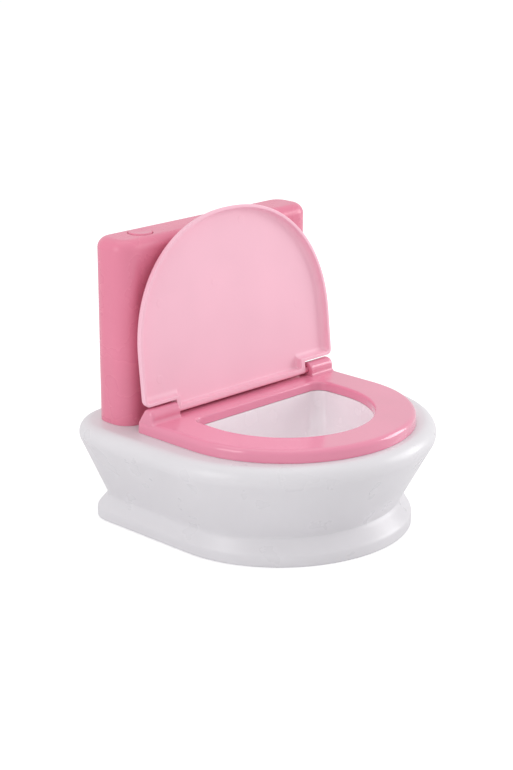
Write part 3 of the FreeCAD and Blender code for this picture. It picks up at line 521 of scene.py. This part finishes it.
def box_cutter(x0, x1, y0, y1, z0, z1, r=0.0, axis="z"):
    """block with rounded edges along one axis"""
    s = Shell()
    pts = []
    if axis == "z":
        a0, a1, b0, b1, c0, c1 = x0, x1, y0, y1, z0, z1
    else:
        a0, a1, b0, b1, c0, c1 = x0, x1, z0, z1, y0, y1
    if r > 0:
        for cx, cy, q in ((a1 - r, b0 + r, -90), (a1 - r, b1 - r, 0), (a0 + r, b1 - r, 90), (a0 + r, b0 + r, 180)):
            for k in range(9):
                t = math.radians(q + 90 * k / 8)
                pts.append((cx + r * cos(t), cy + r * sin(t)))
    else:
        pts = [(a0, b0), (a1, b0), (a1, b1), (a0, b1)]
    put = (lambda p, c: (p[0], p[1], c)) if axis == "z" else (lambda p, c: (p[0], c, p[1]))
    i0 = s.ring([put(p, c0) for p in pts])
    i1 = s.ring([put(p, c1) for p in pts])
    n = len(pts)
    for i in range(n):
        j = (i + 1) % n
        s.f.append((i0[i], i0[j], i1[j], i1[i]))
    s.f.append(tuple(reversed(i0)))
    s.f.append(tuple(i1))
    return bare("cutter", s)


def make_plinth():
    rows = []
    r = 0.7
    for q in (0, 25, 50, 70):
        a = math.radians(q)
        rows.append(footloop(r * (1 - cos(a)), r * (1 - sin(a))))
    for z in (1.6, 2.8, 4.0, 4.8, 5.3, 5.7, 6.0, 6.3, 6.6, 6.9, 7.3, 7.8, 8.5, 9.5, 10.5, 11.5, 12.1, 12.5, 12.9, 13.3, 13.7, 14.0, 14.25):
        rows.append(footloop(z, -cove(ZW - z)))
    rows.append(footloop(ZW - 0.04, -cove(0.04)))
    rows.append(footloop(ZW, 0.06 - cove(0.0)))
    rows.append(footloop(ZW, WALL))
    inner = footloop(ZW, WALL)
    for z in (ZW - 0.3, 8.0, 2.4):
        rows.append(setz(inner, z))
    s = Shell()
    ids = s.loft(rows)
    centre = np.array([0.0, 4.0, 0.0])
    prev = ids[0]
    for t in (0.7, 0.35):
        nxt = s.ring(setz(mix(centre[None, :], rows[0], t), 0.0))
        for i in range(len(prev)):
            j = (i + 1) % len(prev)
            s.f.append((nxt[i], nxt[j], prev[j], prev[i]))
        prev = nxt
    s.fan(prev, (0, 4.0, 0.0), flip=True)
    s.fan(ids[-1], (0, 4.0, 2.4))
    ob = bare("foot_plinth", s)
    for x, y in POSTS:
        boolean(ob, cyl_cutter(x, y, -1.0, 1.9, 3.0))
    cy = 46.0
    boolean(ob, box_cutter(-31.0, 31.0, cy - 13.6, cy + 13.6, -1.0, 1.1, 0.5))
    boolean(ob, box_cutter(-29.0, 29.0, cy - 12.0, cy + 12.0, -1.0, 4.0, 0.5))
    boolean(ob, box_cutter(-5.2, 5.2, cy - 22.8, cy - 13.2, -1.0, 1.6, 0.5))
    return finish_piece(ob, "potty", M_WHITE, ("plinth",))


# -------------------------------------------------------------------- bowl
STEPS = [(61.7, 0.0, 0.0, 0.0, 0.0, 0.0), (50.0, 1.6, -1.0, 1.8, 1.0, 1.4), (38.0, 6.0, -3.6, 6.8, 4.4, 3.0),
         (27.0, 14.0, -7.2, 15.6, 10.6, 3.6), (20.0, 22.0, -10.0, 25.0, 16.8, 2.6), (17.0, 29.0, -12.0, 33.0, 22.0, -0.4)]


def pchip(xs, ys, x):
    xs, ys = np.array(xs, float), np.array(ys, float)
    h, dl = np.diff(xs), np.diff(ys) / np.diff(xs)
    n = len(xs)
    m = np.zeros(n)
    for i in range(1, n - 1):
        if dl[i - 1] * dl[i] > 0:
            w1, w2 = 2 * h[i] + h[i - 1], h[i] + 2 * h[i - 1]
            m[i] = (w1 + w2) / (w1 / dl[i - 1] + w2 / dl[i])
    m[0], m[-1] = dl[0], dl[-1]
    i = int(min(max(np.searchsorted(xs, x) - 1, 0), n - 2))
    t = (x - xs[i]) / h[i]
    return ((1 + 2 * t) * (1 - t) ** 2 * ys[i] + t * (1 - t) ** 2 * h[i] * m[i]
            + t * t * (3 - 2 * t) * ys[i + 1] + t * t * (t - 1) * h[i] * m[i + 1])


BH, BJ, BS, BK, BC, BWALL = 51.6 + 1.6, -3.3, 53.9 + 1.6, 16.1 + 1.6, 7.5 + 1.6, 1.8
BT = [0.0]
for _a, _b in zip(STEPS, STEPS[1:]):
    BT.append(BT[-1] + math.hypot(_b[0] - _a[0], _b[1] - _a[1]))


def bowlrow(t, ins=0.0, up=0.0):
    z, h, j, s_, b, c = [pchip(BT, [q[k] for q in STEPS], t) for k in range(6)]
    a, e, yb = BH - h - ins, BS - s_ - ins, BK - b - ins
    return dloop(a, BJ + j, e, yb, max(BC + c - ins, 3.0), z + up)


def make_bowl():
    ts = list(np.linspace(0, BT[-1], 44))
    rows = []
    for t in reversed(ts):
        rows.append(bowlrow(t))
    top = bowlrow(0.0)
    rows[-1] = setz(bowlrow(0.0), 61.7 - 0.35)
    for ins, dz in ((0.08, 0.15), (0.35, 0.0), (BWALL - 0.35, 0.0), (BWALL - 0.08, 0.12), (BWALL, 0.35)):
        rows.append(setz(bowlrow(0.0, ins), 61.7 - dz))
    for t in ts[1:]:
        f = min(1.0, max(0.0, t / BT[-1]))
        rows.append(bowlrow(t, BWALL, BWALL * f * f * (3 - 2 * f)))
    s = Shell()
    ids = s.loft(rows)
    # inner and outer floor, dished very slightly to the middle
    for ring, z, flip, dip in ((ids[-1], rows[-1][0, 2], False, 0.5), (ids[0], rows[0][0, 2], True, 0.0)):
        src = rows[-1] if not flip else rows[0]
        cen = np.array([0.0, src[:, 1].mean(), z])
        prev = ring
        for t in (0.9, 0.78, 0.6, 0.4, 0.2):
            q = mix(cen[None, :], src, t)
            q[:, 2] = z - dip * (1 - t * t)
            nxt = s.ring(q)
            for i in range(len(prev)):
                j = (i + 1) % len(prev)
                s.f.append((prev[i], prev[j], nxt[j], nxt[i]) if not flip else (nxt[i], nxt[j], prev[j], prev[i]))
            prev = nxt
        s.fan(prev, (cen[0], cen[1], z - dip), flip)
    ob = bare("bowl_skin", s)
    return finish_piece(ob, "potty", M_BOWL_PAINTED_BRIGHTER, ("bowl",), sharp=60)


# --------------------------------------------------------------- seat ring
Z1 = 67.2
AY, AZ, BR, BF = 28.77, 70.3, 4.6, 2.2


def outward(ob):
    bm = bmesh.new()
    bm.from_mesh(ob.data)
    bmesh.ops.recalc_face_normals(bm, faces=bm.faces[:])
    if bm.calc_volume(signed=True) < 0:
        bmesh.ops.reverse_faces(bm, faces=bm.faces[:])
    bm.to_mesh(ob.data)
    bm.free()
    return ob


def hump(x_out, x_in):
    """hinge barrel standing on the seat: hollow round in front, sloping back behind, bored at its inner end"""
    zs = Z1 - 0.03
    yf = AY - sqrt((BR + BF) ** 2 - (AZ - zs - BF) ** 2)
    k = BR / (BR + BF)
    ft = (AY + (yf - AY) * k, AZ + (zs + BF - AZ) * k)
    bp = (37.0, 66.2)
    dy, dz = bp[0] - AY, bp[1] - AZ
    ta = math.atan2(dz, dy) + math.acos(BR / math.hypot(dy, dz))
    bt = (AY + BR * cos(ta), AZ + BR * sin(ta))
    pts, nor = [], []

    def put(y, z, ny, nz):
        pts.append((y, z))
        nor.append((ny, nz))

    put(yf, 64.9, 0.0, 1.0)
    a1 = math.atan2(ft[1] - zs - BF, ft[0] - yf)
    for i in range(13):                                   # hollow round
        t = -0.5 * pi + (a1 + 0.5 * pi) * i / 12
        put(yf + BF * cos(t), zs + BF + BF * sin(t), -cos(t), -sin(t))
    a2 = math.atan2(ft[1] - AZ, ft[0] - AY)
    if a2 < 0:
        a2 += 2 * pi
    for i in range(1, 37):                                # over the top
        t = a2 + (ta - a2) * i / 36
        put(AY + BR * cos(t), AZ + BR * sin(t), cos(t), sin(t))
    n = (cos(ta), sin(ta))
    for t in (0.25, 0.5):
        put(bt[0] + (bp[0] - bt[0]) * t, bt[1] + (bp[1] - bt[1]) * t, *n)
    for i in range(5):
        put(bp[0], 65.5, 1.0, 0.0)
    lift = np.array([0.01 * min(i, len(pts) - 1 - i) for i in range(len(pts))])
    P, N = np.array(pts), np.array(nor)
    s = Shell()
    sg = 1.0 if x_in > x_out else -1.0
    L = abs(x_in - x_out)
    rows = []

    def row(x, off):
        q = P - N * off
        low = 62.4 if x < 2.3 else 64.9
        q[:, 1] = np.maximum(q[:, 1], low + lift)
        q[0, 1] = low
        yb = bp[0] - off
        zl = (BR - off + n[0] * AY + n[1] * AZ - n[0] * yb) / n[1]
        for i in range(5):
            q[-5 + i] = (yb, low + (zl - low) * (1 - i / 4))
        return np.stack([np.full(len(q), x_out + sg * x), q[:, 0], q[:, 1]], 1)

    ro, ri = 2.4, 0.6
    for q in range(0, 91, 10):
        a = math.radians(q)
        rows.append(row(ro * (1 - cos(a)), ro * (1 - sin(a))))
    for t in (0.2, 0.4, 0.6, 0.8):
        rows.append(row(ro + (L - ro - ri) * t, 0.0))
    for q in range(0, 91, 18):
        a = math.radians(q)
        rows.append(row(L - ri + ri * sin(a), ri * (1 - cos(a))))
    ids = s.loft(rows)
    s.f.append(tuple(ids[0]))
    s.f.append(tuple(reversed(ids[-1])))
    ob = outward(bare("hump", s))
    c = Shell()
    prof = [(0.0, L + 1.0), (2.2, L + 1.0), (2.2, L + 0.02), (1.95, L - 0.1), (1.78, L - 0.35), (1.78, L - 6.8), (0.0, L - 6.8)]
    c.lathe([(r, sg * h) for r, h in prof], (x_out, AY, AZ), "x", 48)
    return boolean(ob, outward(bare("bore", c)))


def make_seat():
    rows = []
    rows.append(seatloop(ZT, 2.7))
    rows.append(seatloop(ZT, 0.4))
    rows.append(seatloop(ZT + 0.04, 0.12))
    rows.append(seatloop(ZT + 0.18, 0.02))
    rows.append(seatloop(ZT + 0.5, 0.02))
    R = 3.0
    zr = Z1 - R
    for z in (61.8, 63.0, zr - 0.15):
        rows.append(seatloop(z, 0.3 * (z - ZT) / 7.0))
    for q in range(0, 91, 9):
        a = math.radians(q)
        rows.append(seatloop(zr + R * sin(a), 0.17 + R * (1 - cos(a))))
    out = rows[-1]
    R2 = 1.5
    inn = holeloop(Z1, R2)
    for t in (0.03, 0.1, 0.25, 0.4, 0.6, 0.75, 0.9, 0.97):
        rows.append(mix(out, inn, t))
    for q in range(0, 91, 15):
        a = math.radians(q)
        rows.append(holeloop(Z1 - R2 * (1 - cos(a)), R2 * (1 - sin(a))))
    for z in (65.2, 64.0, 62.4):
        rows.append(holeloop(z, 0.0))
    rows.append(holeloop(62.0, 0.06))
    rows.append(holeloop(61.92, 0.3))
    rows.append(holeloop(61.9, 2.4))
    rows.append(holeloop(64.8, 2.4))
    rows.append(mix(holeloop(64.8, 2.4), seatloop(64.8, 2.7), 0.5))
    rows.append(seatloop(64.8, 2.7))
    s = Shell()
    s.loft(rows, closed=True)
    ob = bare("seat_moulding", s)
    for x_out, x_in in ((-73.4, -52.3), (73.4, 54.2)):
        boolean(ob, hump(x_out, x_in), "UNION")
    return finish_piece(ob, "potty", M_SEAT, ("seat_ring",), sharp=50)


# --------------------------------------------------------------------- lid
LH, S0, S1, S2, PW = 75.0, 5.75, 31.87, 106.65, 2.148
YF, YB, YP = -1.8, 4.4, 2.4
RIM, BB, EAR, BRD, RO, RI = 1.9, 51.8, 3.1, 1.8, 4.6, 3.0


def lidloop(a, top, low, ear, bot, rc, re=0.7):
    """outline with the tongue, anticlockwise seen from the front; x, z and a flag for the tongue"""
    p = []
    nb, ne, nl, nc, nside, nd = 48, 9, 16, 12, 16, 144

    def seg(x0, z0, x1, z1, n, flag):
        for i in range(n):
            t = i / n
            p.append((x0 + (x1 - x0) * t, z0 + (z1 - z0) * t, flag))

    def arc(cx, cz, r, q0, q1, n, flag):
        for i in range(n):
            t = math.radians(q0 + (q1 - q0) * i / n)
            p.append((cx + r * cos(t), cz + r * sin(t), flag))

    half = []
    seg(0, bot, ear - re, bot, nb // 2, 1)
    arc(ear - re, bot + re, re, -90, 0, 6, 1)
    seg(ear, bot + re, ear, low - re, ne, 1)
    arc(ear + re, low - re, re, 180, 90, 6, 0)
    seg(ear + re, low, a - rc, low, nl, 0)
    arc(a - rc, low + rc, rc, -90, 0, nc, 0)
    seg(a, low + rc, a, S1, nside, 0)
    b = top - S1
    for i in range(nd // 2):
        u = pi * i / nd
        c, s = cos(u), sin(u)
        p.append((a * abs(c) ** (2 / PW), S1 + b * abs(s) ** (2 / PW), 0))
    right = list(p)
    left = [(-x, z, f) for x, z, f in reversed(right[1:])]
    return np.array(right + [(0.0, top, 0)] + left)


def outer_l(e):
    return lidloop(LH - e, S2 - e, S0 + e, BB - 0.35 * e, -BRD + 0.55 * e, max(3.2 - 0.4 * e, 1.4))


def inner_l(e):
    return lidloop(LH - RIM - e, S2 - RIM - e, S0 + RIM + e, BB - EAR - 0.4 * e, BRD + 0.35 * e, 2.0)


def place_lid(L, y):
    """outline at depth y; the lower front of the hinge bar is rounded about the axis"""
    x, z = L[:, 0], L[:, 1]
    yy = np.full_like(z, y)
    u, v = np.clip(yy / BRD, -1, 0), np.clip(z / BRD, -1, 0)
    neg = (z < 0) & (yy < 0)
    uu = np.where(neg, u * np.sqrt(1 - v * v / 2) * BRD, yy)
    vv = np.where(neg, v * np.sqrt(1 - u * u / 2) * BRD, z)
    return np.stack([x, uu, vv], 1)


def tilt(P):
    a = math.radians(-5.96)
    c, s = cos(a), sin(a)
    P = np.asarray(P, float)
    return np.stack([P[:, 0], AY + P[:, 1] * c - P[:, 2] * s, AZ + P[:, 1] * s + P[:, 2] * c], 1)


def make_lid():
    rows = []
    cen = np.array([0.0, 45.0, 0.0])

    def shrink(L, t):
        q = mix(cen[None, :], L, t)
        q[:, 2] = 0
        return q

    wide = outer_l(6.4)
    for t in (0.15, 0.45, 0.8):
        q = shrink(wide, t)
        rows.append(np.stack([q[:, 0], np.full(len(q), YB), q[:, 1]], 1))
    rows.append(place_lid(wide, YB))
    rows.append(place_lid(outer_l(5.3), YB))
    for q in range(0, 91, 9):
        a = math.radians(q)
        rows.append(place_lid(outer_l(0.2 + RO * (1 - sin(a))), YB - RO + RO * cos(a)))
    for t in (0.35, 0.7):
        rows.append(place_lid(outer_l(0.2 * (1 - t)), mix(YB - RO, YF + 0.35, t)))
    for q in (0, 22, 45, 68, 90):
        a = math.radians(q)
        rows.append(place_lid(outer_l(0.35 * (1 - cos(a))), YF + 0.35 * (1 - sin(a))))
    A, B = outer_l(0.35), inner_l(-0.4)
    for t in (0.12, 0.25, 0.4, 0.55, 0.7, 0.85):
        rows.append(place_lid(mix(A, B, t), YF))
    for q in (0, 25, 50, 70, 90):
        a = math.radians(q)
        rows.append(place_lid(inner_l(-0.4 * (1 - sin(a))), YF + 0.4 * (1 - cos(a))))
    rows.append(place_lid(inner_l(0.1), -1.0))
    for q in range(0, 91, 10):
        a = math.radians(q)
        rows.append(place_lid(inner_l(0.2 + RI * (1 - cos(a))), YP - RI + RI * sin(a)))
    rows.append(place_lid(inner_l(3.7), YP))
    last = inner_l(4.6)
    rows.append(place_lid(last, YP))
    for t in (0.8, 0.45, 0.15):
        q = shrink(last, t)
        rows.append(np.stack([q[:, 0], np.full(len(q), YP), q[:, 1]], 1))
    s = Shell()
    ids = s.loft([tilt(r) for r in rows])
    s.fan(ids[0], tilt([(0, YB, 45.0)])[0], flip=True)
    s.fan(ids[-1], tilt([(0, YP, 45.0)])[0])
    ob = bare("lid_moulding", s)
    finish_piece(ob, "lid", M_LID_PAINTED_PALER, ("lid",), sharp=70)
    # stub pins with a small collar round
    for side, x0, x1 in (("left", -50.9, -57.2), ("right", 50.9, 59.6)):
        sg = 1 if x1 > 0 else -1
        L = abs(x1 - x0)
        prof = [(0.0, 0.0), (1.7, 0.0), (1.7, 0.85), (1.7, L * 0.5), (1.7, L - 0.5)]
        for q in (30, 60, 90):
            a = math.radians(q)
            prof.append((1.7 - 0.5 * (1 - cos(a)), L - 0.5 + 0.5 * sin(a)))
        prof.append((0.0, L))
        b = Shell()
        b.lathe([(r, sg * h) for r, h in prof], (x0, AY, AZ), "x", 40)
        pin = bare("lid_pin_" + side, b)
        finish_piece(pin, "lid", M_SEAT)
    # ejector witness marks, barely proud of the inside of the lid
    marks = Shell()
    for x, h in ((12.2, 91.4), (-54.6, 55.0), (-59.4, 12.7), (52.7, 34.7), (-12.0, 59.0)):
        m = Shell()
        m.lathe([(0.0, 0.3), (2.3, 0.3), (2.45, 0.0), (2.45, -0.02), (2.38, -0.055), (2.2, -0.07), (0.0, -0.07)], (0, 0, 0), "y", 40)
        P = np.array(m.v) + np.array([x, YP, h + S0])
        k = len(marks.v)
        marks.v.extend([tuple(p) for p in tilt(P)])
        marks.f.extend([tuple(i + k for i in f) for f in m.f])
    mk = bare("lid_ejector_marks", marks)
    finish_piece(mk, "lid", M_LID_PAINTED_PALER)
    return ob


# ----------------------------------------------------------------- cistern
TH, TF, TB, TT, TC, TE, TW = 74.5, 45.2, 73.1, 166.0, 11.0, 6.2, 2.4
BX, BY = -48.8, 59.2


def tankloop(z, ins=0.0):
    hw, y0, y1, r = TH - ins, TF + ins, TB - ins, max(TC - ins, 0.8)
    p = []
    nc, nl, ns = 22, 60, 8
    corners = ((hw - r, y0 + r, -90), (hw - r, y1 - r, 0), (-hw + r, y1 - r, 90), (-hw + r, y0 + r, 180))
    for k, (cx, cy, q) in enumerate(corners):
        for i in range(nc):
            t = math.radians(q + 90 * i / nc)
            p.append((cx + r * cos(t), cy + r * sin(t), z))
        nx = corners[(k + 1) % 4]
        e = math.radians(q + 90)
        ax, ay = cx + r * cos(e), cy + r * sin(e)
        e2 = math.radians(nx[2])
        bx_, by_ = nx[0] + r * cos(e2), nx[1] + r * sin(e2)
        n = ns if k in (0, 2) else nl
        for i in range(n):
            p.append((ax + (bx_ - ax) * i / n, ay + (by_ - ay) * i / n, z))
    return np.array(p)


def make_tank(proud):
    rows = [tankloop(ZT, 0.35), tankloop(ZT + 0.06, 0.12), tankloop(ZT + 0.3, 0.0)]
    for z in np.linspace(ZT + 0.3, TT - TE - 0.2, 12)[1:]:
        rows.append(tankloop(z))
    for q in range(0, 91, 6):
        a = math.radians(q)
        rows.append(tankloop(TT - TE + TE * sin(a), TE * (1 - cos(a))))
    rows.append(tankloop(TT, TE + 0.25))
    s = Shell()
    ids = s.loft(rows)
    s.f.append(tuple(ids[-1]))
    s.f.append(tuple(reversed(ids[0])))
    ob = bare("cistern_moulding", s)
    boolean(ob, box_cutter(-TH + TW, TH - TW, TF + TW, TB - 4.6, ZT + TW, TT - TW, TC - TW))
    boolean(ob, box_cutter(-TH + 12, TH - 12, TB - 8, TB + 22, ZT + 6, TT - 10, 5.0, "y"))
    boolean(ob, box_cutter(-TH + 9.5, TH - 9.5, TB - 2.2, TB + 5.0, ZT + 3.5, TT - 7.5, 6.0, "y"))
    hole = Shell()
    r = 7.15
    prof = [(0, TT - 9.0), (r, TT - 9.0), (r, TT - 0.5)]
    for q in (20, 40, 60, 80, 90):
        a = math.radians(q)
        prof.append((r + 0.5 * (1 - cos(a)), TT - 0.5 + 0.5 * sin(a)))
    prof += [(r + 0.5, TT + 2.0), (0, TT + 2.0)]
    hole.lathe(prof, (BX, BY, 0), "z", 96)
    boolean(ob, bare("cutter", hole))
    return finish_piece(ob, "potty", M_TANK, ("cistern_shell",), sharp=38)


def make_button(proud):
    s = Shell()
    rb, re = 6.8, 0.8
    top = TT + proud
    prof = [(0.0, top - 0.30), (1.5, top - 0.285), (3.0, top - 0.22), (4.4, top - 0.10), (5.3, top - 0.02)]
    for q in range(0, 91, 15):
        a = math.radians(q)
        prof.append((rb - re + re * sin(a), top - re + re * cos(a)))
    prof += [(rb, TT - 1.4), (rb, TT - TW - 0.3), (8.5, TT - TW - 0.3), (8.5, TT - TW - 1.7), (2.4, TT - TW - 1.7), (2.4, TT - 15.8), (0, TT - 15.8)]
    s.lathe([(r, h) for r, h in prof], (BX, BY, 0), "z", 96)
    ob = bare("button_cap", s)
    return finish_piece(ob, "button", M_BUTTON, ("flush_button",))


PROUD = 1000.0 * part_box("flush_button")[1][2] - TT
make_base()
make_plinth()
make_bowl()
make_seat()
make_lid()
make_tank(PROUD)
make_button(PROUD)

# CAD nodes that stay, with their own finishes
KEEP = {
    "battery_door": M_WHITE, "cistern_back_cover": M_TANK, "button_guide": M_TRAY, "button_spring": M_SPRING,
    "circuit_board": M_BOARD, "board_components": M_GREY, "tact_switch": M_BLACK, "board_screws": M_STEEL,
    "speaker": M_SPEAKER, "speaker_clamp": M_TRAY, "speaker_screws": M_STEEL, "power_switch": M_GREY,
    "power_slider": M_BLACK, "battery_tray": M_TRAY, "battery_cells": M_JACKET, "battery_contacts": M_CONTACT,
    "plinth_screws": M_STEEL, "seat_screws": M_STEEL, "cistern_mount_screws": M_STEEL, "cover_screws": M_STEEL,
    "battery_door_screw": M_STEEL, "battery_leads": M_LEAD, "speaker_leads": M_LEAD,
}
for node, mat in KEEP.items():
    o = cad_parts[node]
    if not o.material_slots:
        o.data.materials.append(mat)
    for sl in o.material_slots:
        sl.material = mat
    weld = o.modifiers.new("weld", "WELD")
    weld.merge_threshold = 0.000002
    smooth = o.modifiers.new("weighted", "WEIGHTED_NORMAL")
    smooth.keep_sharp = True

# ------------------------------------------------------------ floor, light
floor_mat = bpy.data.materials.new("floor")
floor_mat.use_nodes = True
nt = floor_mat.node_tree
fb = nt.nodes["Principled BSDF"]
fb.inputs["Roughness"].default_value = 0.6
fb.inputs["Specular IOR Level"].default_value = 0.25
fb.inputs["Emission Color"].default_value = (1.0, 1.0, 1.0, 1)
flp = nt.nodes.new("ShaderNodeLightPath")
fmu = nt.nodes.new("ShaderNodeMath")
fmu.operation = "MULTIPLY"
fmu.inputs[1].default_value = 0.37
nt.links.new(flp.outputs["Is Camera Ray"], fmu.inputs[0])
nt.links.new(fmu.outputs[0], fb.inputs["Emission Strength"])
tc = nt.nodes.new("ShaderNodeTexCoord")
nz = nt.nodes.new("ShaderNodeTexNoise")
nz.inputs["Scale"].default_value = 6.0
nt.links.new(tc.outputs["Object"], nz.inputs["Vector"])
rp = nt.nodes.new("ShaderNodeValToRGB")
rp.color_ramp.elements[0].color = (0.83, 0.83, 0.835, 1)
rp.color_ramp.elements[1].color = (0.85, 0.85, 0.855, 1)
nt.links.new(nz.outputs["Fac"], rp.inputs["Fac"])
nt.links.new(rp.outputs["Color"], fb.inputs["Base Color"])
me = bpy.data.meshes.new("floor")
me.from_pydata([(-6, -6, 0), (6, -6, 0), (6, 6, 0), (-6, 6, 0)], [], [(0, 1, 2, 3)])
floor = bpy.data.objects.new("floor", me)
SCENE.collection.objects.link(floor)
me.materials.append(floor_mat)

world = bpy.data.worlds.new("world")
SCENE.world = world
world.use_nodes = True
wn = world.node_tree
wn.nodes.clear()
wo = wn.nodes.new("ShaderNodeOutputWorld")
bg = wn.nodes.new("ShaderNodeBackground")
bg.inputs["Color"].default_value = (1.0, 1.0, 1.0, 1)
bg.inputs["Strength"].default_value = 0.765
bgc = wn.nodes.new("ShaderNodeBackground")
bgc.inputs["Color"].default_value = (1.0, 1.0, 1.0, 1)
bgc.inputs["Strength"].default_value = 1.05
lp = wn.nodes.new("ShaderNodeLightPath")
mxw = wn.nodes.new("ShaderNodeMixShader")
wn.links.new(lp.outputs["Is Camera Ray"], mxw.inputs[0])
wn.links.new(bg.outputs[0], mxw.inputs[1])
wn.links.new(bgc.outputs[0], mxw.inputs[2])
wn.links.new(mxw.outputs[0], wo.inputs[0])


def soft_light(name, where, target, size, power, colour=(1, 1, 1)):
    ld = bpy.data.lights.new(name, "AREA")
    ld.shape = "RECTANGLE"
    ld.size, ld.size_y = size
    ld.energy = power
    ld.color = colour
    ob = bpy.data.objects.new(name, ld)
    SCENE.collection.objects.link(ob)
    ob.location = where
    ob.rotation_euler = (Vector(target) - Vector(where)).to_track_quat("-Z", "Y").to_euler()
    return ob


soft_light("key", (1.35, -0.65, 0.55), (0.0, 0.0, 0.07), (0.8, 0.8), 8.5)
soft_light("top", (-0.1, 0.15, 1.5), (0.0, 0.0, 0.08), (1.4, 1.2), 3.0)
soft_light("left", (-1.4, 0.1, 0.6), (0.0, 0.0, 0.09), (0.6, 0.9), 4.0)

# ------------------------------------------------------------------ camera
az, el, f = -0.788, 0.306, 1977.211
r_ = Vector((cos(az), sin(az), 0.0))
u_ = Vector((-sin(az) * sin(el), cos(az) * sin(el), cos(el)))
b_ = Vector((sin(az) * cos(el), -cos(az) * cos(el), sin(el)))
cam_data = bpy.data.cameras.new("camera")
cam = bpy.data.objects.new("camera", cam_data)
SCENE.collection.objects.link(cam)
cam_data.sensor_width = 36.0
cam_data.lens = f * 36.0 / 770.0
cam_data.clip_end = 50.0
M = Matrix((( r_.x, u_.x, b_.x, -0.7644), (r_.y, u_.y, b_.y, -0.7438), (r_.z, u_.z, b_.z, 0.4162), (0, 0, 0, 1)))
cam.matrix_world = M
SCENE.camera = cam
SCENE.view_settings.view_transform = "Standard"
